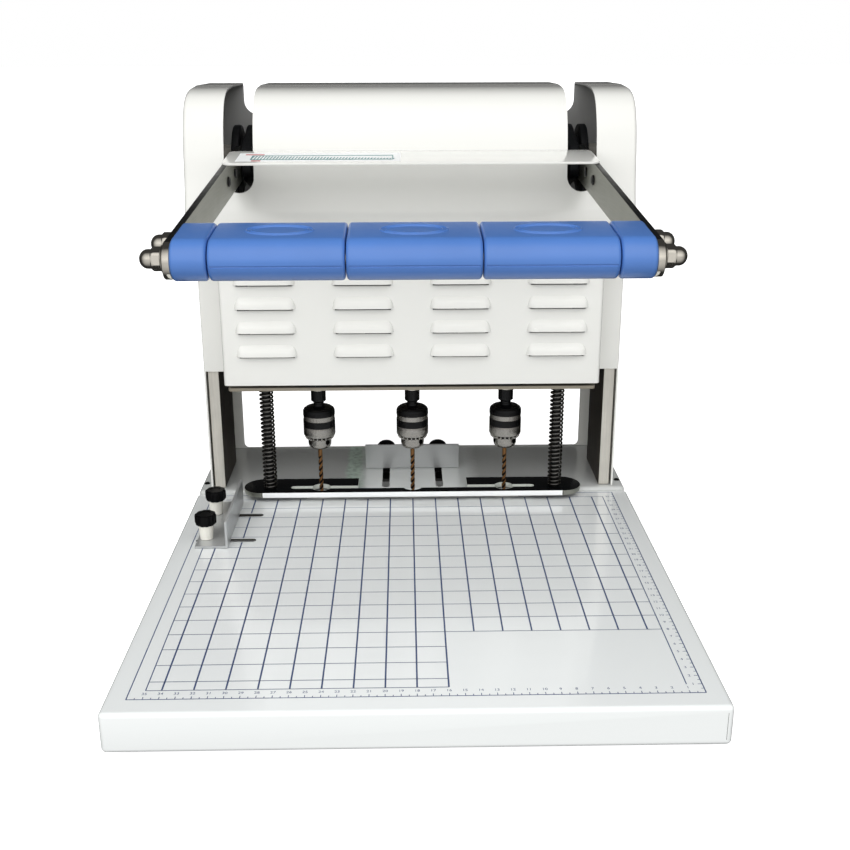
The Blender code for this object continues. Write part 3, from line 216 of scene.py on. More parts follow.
def smoothLine(points, steps):
    # A curve through all the points, leaving each one in the direction from its last to its next neighbour.
    p = np.asarray(points, float)
    p = np.concatenate([2 * p[:1] - p[1:2], p, 2 * p[-1:] - p[-2:-1]])
    t = np.linspace(0, 1, steps, endpoint=False)[:, None]
    a, b, c, d = (p[i:len(p) - 3 + i, None, :] for i in range(4))
    made = (2 * b + (c - a) * t + (2 * a - 5 * b + 4 * c - d) * t ** 2 + (3 * b - a - 3 * c + d) * t ** 3) / 2
    return np.concatenate([made.reshape(-1, p.shape[1]), p[-2:-1]])


def tube(name, path, radius, finish=None, steps=10, closed=False, tilted=False):
    # A round wire: at each point of the path a circle square to it, p + r (s cos a + o sin a), where s
    # lies square to the path and level, and o square to both.
    if closed:
        along = np.roll(path, -1, 0) - np.roll(path, 1, 0)
    else:
        along = np.gradient(path, axis=0)
    along /= np.linalg.norm(along, axis=1, keepdims=True)
    side = np.cross(along, (0, 0, 1.0))
    side /= np.maximum(np.linalg.norm(side, axis=1, keepdims=True), 1e-9)
    over = np.cross(side, along)
    a = angles(steps)[None, :, None]
    rings = path[:, None, :] + radius * (np.cos(a) * side[:, None, :] + np.sin(a) * over[:, None, :])
    return ringStack(name, rings, finish, closed, tilted)


def carve(piece, *cutters):
    # Takes the cutters' shapes out of a piece's mesh for good and removes them. The cut faces get the
    # piece's own first material.
    for cutter in cutters:
        step = piece.modifiers.new("carve", "BOOLEAN")
        step.operation, step.solver, step.object = "DIFFERENCE", "EXACT", cutter
    bpy.context.view_layer.update()
    data = bpy.data.meshes.new_from_object(piece.evaluated_get(bpy.context.evaluated_depsgraph_get()))
    old, materials = piece.data, list(piece.data.materials)
    piece.modifiers.clear()
    piece.data = data
    bpy.data.meshes.remove(old)
    data.materials.clear()
    for material in materials:
        data.materials.append(material)
    data.polygons.foreach_set("material_index", np.zeros(len(data.polygons), np.int32))
    data.polygons.foreach_set("use_smooth", np.ones(len(data.polygons), bool))
    data.set_sharp_from_angle(angle=sharpAngle)
    for cutter in cutters:
        bpy.data.objects.remove(cutter)
    return piece


def together(name, pieces):
    # Makes several pieces one piece, in which each part keeps its own material.
    shape = bmesh.new()
    materials = []
    for piece in pieces:
        start = len(shape.faces)
        shape.from_mesh(piece.data)
        shape.faces.ensure_lookup_table()
        own = list(piece.data.materials)
        materials += [m for m in own if m not in materials]
        for face in shape.faces[start:]:
            face.material_index = materials.index(own[min(face.material_index, len(own) - 1)]) if own else 0
        bpy.data.objects.remove(piece)
    data = bpy.data.meshes.new(name)
    shape.to_mesh(data)
    shape.free()
    for material in materials:
        data.materials.append(material)
    data.set_sharp_from_angle(angle=sharpAngle)
    return link(bpy.data.objects.new(name, data))


def faceCentres(piece):
    # The faces' centres and normals as two arrays.
    polygons = piece.data.polygons
    centres, normals = np.empty(3 * len(polygons)), np.empty(3 * len(polygons))
    polygons.foreach_get("center", centres)
    polygons.foreach_get("normal", normals)
    return centres.reshape(-1, 3), normals.reshape(-1, 3)


def dress(piece, finish, chosen):
    # Gives the chosen faces a finish of their own.
    index = np.zeros(len(piece.data.polygons), np.int32)
    piece.data.polygons.foreach_get("material_index", index)
    index[chosen] = len(piece.data.materials)
    piece.data.materials.append(finishes[finish])
    piece.data.polygons.foreach_set("material_index", index)
    return piece


def depthInside(points, loop):
    # Distance of flat points to the nearest side of a loop: |p - (a + t b)| with t held from 0 to 1.
    a = leftTurning(loop)
    b = np.roll(a, -1, 0) - a
    away = points[:, None, :] - a[None]
    t = np.clip(np.sum(away * b, 2) / np.maximum(np.sum(b * b, 1), 1e-18), 0, 1)
    return np.linalg.norm(away - t[..., None] * b, axis=2).min(1)


def underRim(first, second, radius):
    # Depth below a rounded edge: r - sqrt((r - d1)^2 + (r - d2)^2) near it, elsewhere the lesser distance.
    edge = (first < radius) & (second < radius)
    return np.where(edge, radius - np.hypot(radius - first, radius - second), np.minimum(first, second))


def settle(piece, node):
    # Puts a finished piece on the body of the solid that it stands for, in its place.
    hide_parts(node)
    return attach(piece, bodyOf[node])


def linear(rgb):
    # Screen colour, 0 to 255, to light: c / 12.92 when dark, otherwise ((c + 0.055) / 1.055)^2.4.
    c = np.array(rgb) / 255
    c = np.where(c <= 0.04045, c / 12.92, ((c + 0.055) / 1.055) ** 2.4)
    return (*c.tolist(), 1.0)


def shade(color, amount):
    # A colour times an amount, at most 1.
    return (*[min(1.0, c * amount) for c in color[:3]], 1.0)


def fill(tree, node, result, inputs):
    # Gives a node's inputs their values, or links where a value is another node's result.
    for key, value in inputs.items():
        if isinstance(value, bpy.types.NodeSocket):
            tree.links.new(value, node.inputs[key])
        else:
            node.inputs[key].default_value = value
    return node.outputs[result]


def pattern(tree, scale, detail, stretch=(1, 1, 1)):
    # Noise on the object's own coordinates, in metres, drawn out along an axis by a small stretch value.
    place = tree.nodes.new("ShaderNodeTexCoord").outputs["Object"]
    mapped = fill(tree, tree.nodes.new("ShaderNodeMapping"), "Vector", {"Vector": place, "Scale": stretch})
    return fill(tree, tree.nodes.new("ShaderNodeTexNoise"), "Fac",
                {"Vector": mapped, "Scale": scale, "Detail": detail})


def axes(tree, source="Object"):
    # The three coordinates as separate results.
    place = tree.nodes.new("ShaderNodeTexCoord").outputs[source]
    parts = tree.nodes.new("ShaderNodeSeparateXYZ")
    tree.links.new(place, parts.inputs["Vector"])
    return parts.outputs["X"], parts.outputs["Y"], parts.outputs["Z"]


def tint(tree, source, *stops):
    # A ramp between two colours, each at its position.
    ramp = tree.nodes.new("ShaderNodeValToRGB")
    for element, (position, color) in zip(ramp.color_ramp.elements, stops):
        element.position, element.color = position, color
    return fill(tree, ramp, "Color", {"Fac": source})


def between(tree, source, low, high, fromLow=0.3, fromHigh=0.7):
    # low + (high - low) (v - from) / (to - from), held at both ends.
    return fill(tree, tree.nodes.new("ShaderNodeMapRange"), "Result", {
        "Value": source, "From Min": fromLow, "From Max": fromHigh, "To Min": low, "To Max": high})


def calc(tree, operation, first, second=0.0):
    # One step of arithmetic on numbers or on other nodes' results.
    step = tree.nodes.new("ShaderNodeMath")
    step.operation = operation
    return fill(tree, step, "Value", {0: first, 1: second})


def blend(tree, factor, first, second):
    # first (1 - f) + second f, on numbers or results.
    return fill(tree, tree.nodes.new("ShaderNodeMix"), "Result", {"Factor": factor, "A": first, "B": second})


def blendColors(tree, factor, first, second):
    # The same on colours, whose sockets are the node's 6 and 7 and its result 2.
    mix = tree.nodes.new("ShaderNodeMix")
    mix.data_type = "RGBA"
    return fill(tree, mix, 2, {0: factor, 6: first, 7: second})


def newFinish(name, metallic=0.0, specular=0.5, coat=0.0, coatRoughness=0.05):
    # A material under its name, with its tree and its shader.
    finish = finishes[name] = bpy.data.materials.new(name)
    finish.use_nodes = True
    shader = finish.node_tree.nodes["Principled BSDF"]
    fill(finish.node_tree, shader, 0, {"Metallic": metallic, "Specular IOR Level": specular,
                                       "Coat Weight": coat, "Coat Roughness": coatRoughness})
    return finish.node_tree, shader


def surface(tree, shader, color, roughness, grain=None, strength=0.0, distance=0.0):
    # Gives a shader its colour and roughness, and a bump of strength x distance by the grain.
    fill(tree, shader, 0, {"Base Color": color, "Roughness": roughness})
    if grain is not None:
        bump = fill(tree, tree.nodes.new("ShaderNodeBump"), "Normal",
                    {"Height": grain, "Strength": strength, "Distance": distance})
        tree.links.new(bump, shader.inputs["Normal"])


def paintFinish(name, rgb, roughness, coat, mottle, grain):
    # Stoved enamel: a faint cloudiness in the colour and a fine orange peel under a clear coat.
    tree, shader = newFinish(name, coat=coat, coatRoughness=0.08)
    color = linear(rgb)
    surface(tree, shader, tint(tree, pattern(tree, 7, 2), (0.1, shade(color, mottle)), (0.9, color)),
            between(tree, pattern(tree, 60, 2), *roughness, 0.05, 0.95), pattern(tree, 700, 2), grain, 0.0001)
    return tree, shader


def wornFinish(name, rgb, reflected, reflectedTint, w):
    # Enamel with a painted reflection: it is paler over a patch of the top, and greenish and mottled at the
    # patch's left end. Each border is a short ramp in x, which noise makes uneven.
    tree, shader = paintFinish(name, rgb, (0.12, 0.16), 0.8, 0.96, 0.05)
    x, _, z = axes(tree)
    x = calc(tree, "ADD", x, calc(tree, "MULTIPLY", pattern(tree, 160, 4), w["raggedness"]))
    reflection = calc(tree, "MINIMUM", between(tree, x, 0, 1, *w["left"]), between(tree, x, 1, 0, *w["right"]))
    reflection = calc(tree, "MULTIPLY", reflection, between(tree, z, 0, 1, *w["top"]))
    reflectedTint = linear(reflectedTint)
    reflectionSpeck = tint(tree, pattern(tree, 240, 4), (0.35, shade(reflectedTint, 0.7)), (0.6, reflectedTint))
    patch = blendColors(tree, between(tree, x, 1, 0, *w["tintedEnd"]), linear(reflected), reflectionSpeck)
    own = shader.inputs["Base Color"].links[0].from_socket
    tree.links.new(blendColors(tree, reflection, own, patch), shader.inputs["Base Color"])


def brushedFinish(name, rgb, roughness, along, depth, mottle, metallic=1.0):
    # Metal rubbed along one axis: noise drawn out into fine lines, times a blotchy tarnish.
    tree, shader = newFinish(name, metallic=metallic)
    lines = pattern(tree, 900, 4, [0.04 if axis == along else 1 for axis in "XYZ"])
    color = linear(rgb)
    tarnish = calc(tree, "MULTIPLY", lines, pattern(tree, 45, 5))
    surface(tree, shader, tint(tree, tarnish, (0.15, shade(color, mottle)), (0.38, color)),
            between(tree, lines, *roughness), lines, depth, 0.00006)


def mouldedFinish(name, rgb, roughness, grain, grainScale=900, coat=0.0, specular=0.5):
    # Moulded plastic, rubber or a casting: an even grain and a slightly uneven gloss.
    tree, shader = newFinish(name, coat=coat, coatRoughness=0.25, specular=specular)
    color = linear(rgb)
    surface(tree, shader, tint(tree, pattern(tree, 25, 4), (0.3, shade(color, 0.94)), (0.7, color)),
            between(tree, pattern(tree, 120, 3), *roughness), pattern(tree, grainScale, 2), grain, 0.00012)


def flutedFinish(name, land, flute):
    # Ground steel that is darker down in its flutes, by the mesh's own depth value.
    tree, shader = newFinish(name, metallic=0.9)
    depth = tree.nodes.new("ShaderNodeAttribute")
    depth.attribute_name = "fluteDepth"
    surface(tree, shader, tint(tree, depth.outputs["Fac"], (0.08, linear(land)), (0.34, linear(flute))),
            between(tree, pattern(tree, 600, 4), 0.25, 0.5))


paintFinish("coverEnamel", (237, 237, 232), (0.25, 0.28), 1.0, 0.985, 0.02)
paintFinish("tableEnamel", (239, 242, 241), (0.2, 0.24), 0.8, 0.985, 0.02)
# The paler, greenish patch on the base's top is a painted reflection.
wornFinish("baseEnamel", (200, 202, 200), (236, 240, 238), (214, 234, 220), {
    "left": (-0.061, -0.057), "right": (0.054, 0.066), "tintedEnd": (-0.048, -0.040), "top": (0.0344, 0.0353),
    "raggedness": 0.006})
flutedFinish("drillGold", (134, 98, 62), (26, 16, 12))
# name, screen colour, roughness, axis of the lines, their depth, tarnish, metallic
for settings in (
    ("darkSideSteel", (66, 59, 51), (0.45, 0.6), "Z", 0.1, 0.75, 0.3),
    ("columnSteel", (224, 220, 210), (0.3, 0.42), "Z", 0.06, 0.86, 0.55),
    ("armNickel", (160, 161, 152), (0.28, 0.38), "Y", 0.04, 0.92),
    ("brightNickel", (232, 226, 214), (0.06, 0.12), "", 0.01, 0.95),
    ("chuckSteel", (176, 172, 166), (0.12, 0.18), "", 0.03, 0.82),
    ("stopAluminium", (194, 196, 196), (0.3, 0.35), "X", 0.008, 0.975, 0.6),
    ("plateSteel", (168, 160, 144), (0.35, 0.45), "X", 0.03, 0.9, 0.5),
    ("slotWallHighlight", (222, 226, 218), (0.3, 0.4), "", 0.02, 0.9, 0.2),
    ("darkSteel", (46, 46, 46), (0.3, 0.4), "", 0.05, 0.8),
    ("rodSteel", (30, 29, 28), (0.3, 0.4), "", 0.03, 0.8, 0.6),
    ("springSteel", (112, 110, 107), (0.1, 0.15), "", 0.02, 0.8),
):
    brushedFinish(*settings)
# name, screen colour, roughness, grain, its scale, clear coat, specular
for settings in (
    # dark grey given to inside faces as painted shade
    ("insideShade", (72, 71, 68), (0.6, 0.8), 0.3, 400, 0, 0.2),
    ("hoodInsideShade", (180, 180, 178), (0.5, 0.7), 0.2, 400, 0, 0.3),
    ("gripPlastic", (80, 126, 200), (0.32, 0.38), 0.04, 900, 0.6),
    ("armEdgeDarkReflection", (14, 14, 14), (0.3, 0.4), 0.1, 600, 0, 0.2),
    ("blackOxide", (8, 8, 9), (0.14, 0.2), 0.02, 500, 0, 0.22),
    ("castBlack", (20, 21, 23), (0.4, 0.55), 0.4, 260, 0, 0.3),
    ("knobPlastic", (7, 7, 8), (0.3, 0.4), 0.06, 700, 0, 0.12),
    ("plateBlack", (8, 9, 10), (0.12, 0.18), 0.02, 500, 0, 0.07),
    ("creamNylon", (244, 242, 232), (0.35, 0.5), 0.06, 400),
    ("footRubber", (30, 30, 30), (0.6, 0.8), 0.4, 500),
    ("beltRubber", (36, 36, 36), (0.6, 0.8), 0.5),
    ("stripNylon", (238, 238, 234), (0.4, 0.55), 0.2, 500),
    ("inkBlue", (62, 80, 122), (0.4, 0.5), 0.05, 500),
    ("inkGrey", (122, 130, 148), (0.4, 0.5), 0.05, 500),
    ("inkTeal", (92, 146, 146), (0.4, 0.5), 0.05, 500),
    ("inkWhite", (250, 252, 252), (0.4, 0.5), 0.05, 500),
    ("inkRed", (206, 120, 124), (0.4, 0.5), 0.05, 500),
):
    mouldedFinish(*settings)
print("finishes made:", len(finishes))

# What the solids are painted with, by the start of their names. Most that stay are out of sight.
solidKinds = {
    "tableEnamel": "table_tray", "stripNylon": "cutting_strip", "baseEnamel": "base_plate",
    "footRubber": "foot", "columnSteel": "column guide_rail pivot_shaft",
    "gripPlastic": "grip", "brightNickel": "grip_rod",
    "coverEnamel": "hood side_cover louvre_cover rear_panel brace_plate", "armNickel": "arm",
    "knobPlastic": "power_inlet switch_rocker guide_knob stop_knob", "plateSteel": "head_plate",
    "castBlack": "crank head_bracket spindle_housing motor", "blackOxide": "spindle", "chuckSteel": "chuck",
    "darkSteel": "drill_bit", "stopAluminium": "motor_pulley side_guide back_stop", "rodSteel": "clamp_rod",
    "beltRubber": "motor_belt left_belt right_belt", "plateBlack": "clamp_plate", "springSteel": "clamp_spring",
}
solidFinish = {kind: finish for finish, kinds in solidKinds.items() for kind in kinds.split()}
for nodeName, node in nodes.items():
    kind = max((k for k in solidFinish if nodeName.startswith(k)), key=len)
    node.data.materials.clear()
    node.data.materials.append(finishes[solidFinish[kind]])
print("solids painted")


def foldedTray(name, finish, t, cutters):
    # Folded sheet: a rounded box less a smaller one, open below inside its turned-in flange, with painted shade
    # on its inside faces.
    outline = roundedLoop(-t["side"], t["side"], t["frontY"], t["rearY"], t["corner"])
    tray = plate(name, outline, t["low"], t["high"], t["rim"], "Z", finish, 6)
    s, f = t["sheet"], t["flange"]
    inner = plate("cutter", insetLoop(outline, s), t["low"] + s, t["high"] - s, t["innerRim"], "Z")
    below = boxCutter((-t["side"] + f, t["frontY"] + f, t["low"] - past),
                      (t["side"] - f, t["rearY"] - f, t["low"] + t["openHigh"]))
    carve(tray, inner, below, *cutters)
    centres, _ = faceCentres(tray)
    depth = underRim(depthInside(centres[:, :2], outline),
                     np.minimum(t["high"] - centres[:, 2], centres[:, 2] - t["low"]), t["rim"])
    # Faces inside the sheet get painted shade.
    return dress(tray, "insideShade", depth > insideFrom * s)


table = {
    "side": 0.194, "frontY": -0.2355, "rearY": 0.1157, "low": 0.0052, "high": 0.033,
    "rim": 0.003, "corner": 0.0032, "sheet": 0.0015, "flange": 0.027, "innerRim": 0.0015, "openHigh": 0.004,
    "slots": [(-0.178, -0.129, 0.0145), (-0.178, -0.129, 0.066)], "slotHalf": 0.003,
    "stripHole": (-0.0953, 0.0953, 0.1022, 0.1128), "cut": (0.027, 0.037),
    "seam": (0.190025, 0.190375), "seamDepth": 0.0006, "seamZ": (0.0092, 0.0285),
}


def makeTable(t):
    # The tray with two slots for the side guide, a hole for the strip and a folded seam in front.
    half = t["slotHalf"]
    cutters = [punch(bandLoop((left + half, y), half, (right - half, y), half), *t["cut"])
               for left, right, y in t["slots"]]
    cutters.append(punch(roundedLoop(*t["stripHole"], 0.001), *t["cut"]))
    (left, right), (low, high) = t["seam"], t["seamZ"]
    cutters.append(boxCutter((left, t["frontY"] - past, low), (right, t["frontY"] + t["seamDepth"], high)))
    return settle(foldedTray("table", "tableEnamel", t, cutters), "table_tray")


def slabs(name, starts, ends, width, low, thickness, finish, tilted=False):
    # Printed strokes: for each one the four corners start and end +- width / 2 across, at two heights.
    starts, ends = np.asarray(starts, float), np.asarray(ends, float)
    along = ends - starts
    along /= np.linalg.norm(along, axis=1, keepdims=True)
    across = np.stack([-along[:, 1], along[:, 0]], 1) * width / 2
    flat = np.stack([starts - across, ends - across, ends + across, starts + across], 1)
    both = np.concatenate([flat, flat], 1)
    heights = np.repeat([low, low + thickness], 4)
    points = np.concatenate([both, np.broadcast_to(heights[None, :, None], (*both.shape[:2], 1))], 2)
    box = np.array([[3, 2, 1, 0], [4, 5, 6, 7], [0, 1, 5, 4], [1, 2, 6, 5], [2, 3, 7, 6], [3, 0, 4, 7]])
    faces = (box[None] + 8 * np.arange(len(starts))[:, None, None]).reshape(-1, 4).tolist()
    return meshPiece(name, points, faces, finish, smooth=False, tilted=tilted)


def figures(name, places, size, low, thickness, finish):
    # The numbers from 1 up as thin solid letters, each centred on its place.
    made = []
    for number, (x, y) in enumerate(places, 1):
        letters = bpy.data.curves.new(name, "FONT")
        letters.body, letters.size, letters.align_x, letters.align_y = str(number), size, "CENTER", "CENTER"
        letters.extrude, letters.resolution_u = thickness / 2, 3
        thing = link(bpy.data.objects.new(name, letters))
        graph = bpy.context.evaluated_depsgraph_get()
        data = bpy.data.meshes.new_from_object(thing.evaluated_get(graph))
        data.transform(Matrix.Translation((x, y, low + thickness / 2)))
        data.materials.clear()
        data.materials.append(finishes[finish])
        bpy.data.objects.remove(thing)
        bpy.data.curves.remove(letters)
        made.append(link(bpy.data.objects.new(name, data)))
    return together(name, made)


# Centimetres on the table's print: across from the middle, and back from the print's front line.
scale = {
    "frontY": -0.2195, "lift": 0.00003, "ink": 0.00003, "half": 18, "border": 17, "depth": 33, "back": 32,
    "bold": 0.0011, "thin": 0.0008, "frame": 0.0007, "tick": 0.0005,       # widths of the strokes
    "openX": 3, "openY": 8,          # right of and in front of these the print's corner is left free
    "gaps": [(0, 23.0), (23.8, 28.15), (28.95, 32)],        # the guide's slots cut the lines between these
    "gapX": -12,                     # left of this
    "rearGap": 9.8, "ticks": (0.28, 0.18), "figureSize": 0.0036, "figureY": 0.62, "figureX": 17.42,
}


def makePrint(s):
    # A frame, bold lines up and thin lines across every 2 cm, ticks every half and numbers every whole one.
    half, border, depth, back, openX, openY = (
        s[key] for key in ("half", "border", "depth", "back", "openX", "openY"))
    low = machine["tableZ"] + s["lift"]
    bold = []
    for x in range(-16, 17, 2):
        first = openY if x > openX else 1
        spans = s["gaps"] if x < s["gapX"] else [(first, back)]
        bold += [[(x, max(first, start)), (x, end)] for start, end in spans]
    thin = [[(-border, y), (openX - 1 if y < openY else border, y)] for y in [1, *range(2, 33, 2)]]
    edge = [[(border, 1), (border, back)], [(half, 0), (half, depth)], [(-half, 0), (half, 0)],
            [(-half, 0), (-half, depth)]]
    edge += [[(-border, max(1, start)), (-border, end)] for start, end in s["gaps"]]
    edge += [[(way * s["rearGap"], depth), (way * half, depth)] for _, way in sides]
    ticks = [[(n / 2 - half, 0), (n / 2 - half, s["ticks"][n % 2])] for n in range(1, 2 * (2 * half))]
    ticks += [[(half, n / 2), (half - s["ticks"][n % 2], n / 2)] for n in range(1, 2 * depth)]
    parts = []
    for name, lines, width, ink in (
            ("boldLines", bold, "bold", "inkBlue"), ("thinLines", thin, "thin", "inkGrey"),
            ("frameLines", edge, "frame", "inkBlue"), ("ticks", ticks, "tick", "inkBlue")):
        ends = np.array(lines, float) * 0.01 + (0, s["frontY"])
        parts.append(slabs(name, ends[:, 0], ends[:, 1], s[width], low, s["ink"], ink))
    frontPlaces = [(0.01 * (half - n), s["frontY"] + 0.01 * s["figureY"]) for n in range(1, 2 * half)]
    sidePlaces = [(0.01 * s["figureX"], s["frontY"] + 0.01 * n) for n in range(1, depth)]
    parts += [figures(name, places, s["figureSize"], low, s["ink"], "inkBlue")
              for name, places in (("frontFigures", frontPlaces), ("sideFigures", sidePlaces))]
    print("print strokes:", len(bold) + len(thin) + len(edge) + len(ticks))
    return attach(together("tablePrint", parts), "frame")


makeTable(table)
makePrint(scale)
print("table and print made")

base = {
    "side": 0.193, "frontY": 0.116, "rearY": 0.2355, "low": 0.0052, "high": 0.0355,
    "rim": 0.003, "corner": 0.004, "sheet": 0.003, "flange": 0.024, "innerRim": 0.0005, "openHigh": 0.006,
    "slotX": 0.0245, "slotHalf": 0.0034, "slotFront": 0.1217, "slotRear": 0.2007, "cut": (0.0295, 0.0395),
    "screw": (0.1886, 0.1345), "screwHead": [(0, 0.0015), (0.0012, 0.00148), (0.002, 0.0011), (0.0025, 0.0004),
                                             (0.0026, -0.0005), (0, -0.0005)],
}


def makeBase(b):
    # Like the table but thicker, with two lengthwise slots and a screw near each front corner.
    half = b["slotHalf"]
    cutters = [punch(bandLoop((way * b["slotX"], b["slotFront"] + half), half,
                              (way * b["slotX"], b["slotRear"] - half), half), *b["cut"]) for _, way in sides]
    parts = [foldedTray("base", "baseEnamel", b, cutters)]
    x, y = b["screw"]
    parts += [spun("screw", b["screwHead"], (way * x, y, b["high"]), "darkSteel", 24) for _, way in sides]
    return settle(together("base", parts), "base_plate")


# A rubber foot: narrower below, with a rounded lower edge and a washer groove near the top.
foot = {
    "profile": [(0, 0.0049), (0.0079, 0.0049), (0.008, 0.0044), (0.008, 0.0039), (0.0076, 0.0036),
                (0.0077, 0.0032), (0.0067, 0.0005), (0.0064, 0.0001), (0.0059, 0), (0.0026, 0),
                (0.0024, 0.0008), (0, 0.0008)],
    "places": (("front", 0.176, -0.2175), ("rear", 0.175, 0.2175)),
}

makeBase(base)
for side, way in sides:
    for end, x, y in foot["places"]:
        settle(spun(f"foot{end}{side}", foot["profile"], (way * x, y, 0), "footRubber"), f"foot_{end}_{side}")

column = {"inner": 0.1697, "outer": 0.1792, "outline": (0.1225, 0.1905, 0.0358, 0.366, 0.0015),
          "boreRadius": 0.0104, "rounding": 0.0007}


def makeColumn(side, way, c):
    # A flat bar on edge with eased corners and the shaft's bore. Its inner side is darker.
    low, high = sorted((way * c["inner"], way * c["outer"]))
    piece = plate(f"column.{side}", roundedLoop(*c["outline"]), low, high, c["rounding"], "X", "columnSteel")
    carve(piece, punch(circle(machine["pivot"][1:], c["boreRadius"], 40), low - past, high + past, "X"))
    _, normals = faceCentres(piece)
    dress(piece, "darkSideSteel", normals[:, 0] * way < -0.7)
    return settle(piece, f"column_{side}")


for side, way in sides:
    makeColumn(side, way, column)
print("base, feet and columns made")

hood = {
    "frontY": 0.084, "rearY": 0.2305, "low": 0.277, "high": 0.385, "side": 0.1822,
    "sheet": 0.0015, "rim": 0.0035,
    # shares of the depth and the height, from the front's foot to the top
    "curve": [(0, 0.11), (0.045, 0.33), (0.072, 0.55), (0.112, 0.74), (0.19, 0.895), (0.32, 0.972), (0.56, 1)],
    "slot": (0.126, 0.1495), "slotFront": (0.304, 0.05, 0.1545), "slotRear": (0.358, 0.1505, 0.26),
    "slotTop": 0.445,
    "open": ((0.1575, 0.087), (0.1804, 0.122)), "openBack": 0.2275, "openZ": (0.267, 0.28),
}


def hoodOutline(h):
    # From the side: the front's curve, the top's rounded rear corner, then straight down.
    curve = smoothLine(h["curve"], 10)
    depth, height, r = h["rearY"] - h["frontY"], h["high"] - h["low"], h["rim"]
    curve = np.stack([h["frontY"] + curve[:, 0] * depth, h["low"] + np.minimum(curve[:, 1], 1) * height], 1)
    corner = arcPoints((h["rearY"] - r, h["high"] - r), r, quarter, 0, 6)
    return np.concatenate([[(h["frontY"], h["low"])], curve, corner, [(h["rearY"], h["low"])]])


def makeHood(h):
    # The outline across the width with rounded rims, less the same inset by the sheet, and the openings:
    # two steps of the underside, and for each arm a slot in the front and a shorter one behind.
    outline = hoodOutline(h)
    s, side, (openLow, openHigh) = h["sheet"], h["side"], h["openZ"]
    cover = plate("hood", outline, -side, side, h["rim"], "X", "coverEnamel", 7)
    cutters = [plate("cutter", insetLoop(outline, s), -side + s, side - s, h["rim"] - s, "X")]
    cutters += [boxCutter((-half, front, openLow), (half, h["openBack"], openHigh))
                for half, front in h["open"]]
    for _, way in sides:
        left, right = sorted(way * x for x in h["slot"])
        for low, near, far in (h["slotFront"], h["slotRear"]):
            loop = roundedLoop(left, right, low, h["slotTop"], (right - left) / 2 - 0.0001, 10)
            cutters.append(punch(loop, near, far, "Y"))
    carve(cover, *cutters)
    centres, _ = faceCentres(cover)
    depth = underRim(depthInside(centres[:, 1:], outline), side - np.abs(centres[:, 0]), h["rim"])
    # Faces inside the sheet get a darker grey as painted shade.
    return settle(dress(cover, "hoodInsideShade", depth > insideFrom * s), "hood")


makeHood(hood)

skirt = {"outer": 0.1822, "sheet": 0.0015, "front": 0.1205, "rear": 0.2305, "low": 0.0358, "step": 0.1462,
         "faceInner": 0.1593, "faceSheet": 0.00075, "fold": 0.0018}


def makeSideCover(side, way, s):
    # The side wall, and above the throat a fold round the column's front edge.
    outer, inner, fold, front, rear = s["outer"], s["outer"] - s["sheet"], s["fold"], s["front"], s["rear"]
    behind = front + s["faceSheet"]
    wall = np.array([(outer, rear), (inner, rear), (inner, front), (outer, front)])
    bend = arcPoints((outer - fold, front + fold), fold, 0, -quarter, 6)
    folded = np.concatenate([[(outer, rear)], bend, [(s["faceInner"], front), (s["faceInner"], behind),
                                                     (inner, behind), (inner, rear)]])
    parts = [plate(name, loop * (way, 1), low, high, sheetEdge, "Z", "coverEnamel")
             for name, loop, low, high in (("wall", wall, s["low"], s["step"]),
                                           ("fold", folded, s["step"], machine["seamZ"]))]
    return settle(together(f"sideCover.{side}", parts), f"side_cover_{side}")


for side, way in sides:
    makeSideCover(side, way, skirt)

louvres = {
    "half": 0.159, "frontY": 0.0835, "rearY": 0.12125, "low": 0.144, "sheet": 0.0012, "corner": 0.003,
    "columns": 4, "rows": 4, "pitchX": 0.0809, "firstZ": 0.1698, "pitchZ": 0.0203,
    "length": 0.0506, "height": 0.0100, "bulge": 0.0042, "skin": 0.0009, "gape": 0.0017,
    "root": 0.0003,                  # how far the louvres reach into the sheet
    "holeInset": 0.0022, "holeTop": 0.004, "holeY": (-0.002, 0.003),
    "endShare": 0.28,                # of the half length over which the ends fall
    "lean": 0.04, "narrowing": 0.19, "narrowFrom": 0.1, "fall": 0.12, "steepness": 2.1, "blending": 5,
}


def louvreShell(centreX, lowZ, s):
    # One pressed louvre. Over u from end to end and v from the open lower edge up, it stands out by
    # bulge x E(u) x D(v): E is 1 in the middle and falls along a quarter circle over the last share of
    # each end. D is the soft lesser of a steep line and a slow one, -ln(e^-k1 + e^-k2), brought to 1 below
    # and 0 at the top. The half length shrinks upwards, 1 - lean v - narrowing (1 - sqrt(1 - w^2)) with w
    # from 0 to 1 over the upper part. An inner skin closes it.
    u = np.sin(np.linspace(-1, 1, 45) * quarter)[:, None]
    v = np.sin(np.linspace(0, 1, 17) * quarter)[None, :]
    ends = np.sqrt(1 - np.clip((np.abs(u) - 1 + s["endShare"]) / s["endShare"], 0, 1) ** 2)
    upper = np.clip((v - s["narrowFrom"]) / (1 - s["narrowFrom"]), 0, 1)
    taper = 1 - s["lean"] * v - s["narrowing"] * (1 - np.sqrt(1 - upper ** 2))
    steep, slow, k = s["steepness"] * (1 - v), 1 - s["fall"] * v, s["blending"]
    rise = -np.log(np.exp(-k * steep) + np.exp(-k * slow)) / k
    rise = np.clip((rise - rise[:, -1:]) / (rise[:, :1] - rise[:, -1:]), 0, 1)

    def skin(thickness, bulge):
        # x = c + u l / 2, y = front - bulge E D, z = low + h v, smaller by the skin's thickness.
        x = centreX + u * (s["length"] / 2 - thickness) * taper
        y = s["frontY"] + s["root"] - bulge * ends * rise + 0 * x
        return np.stack([x, y, lowZ + (s["height"] - thickness) * v + 0 * x], -1)

    outer, inner = skin(0, s["bulge"] + s["root"]), skin(s["skin"], s["bulge"] - s["skin"])[:, ::-1]
    return ringStack("louvre", np.concatenate([outer, inner], 1), "coverEnamel")


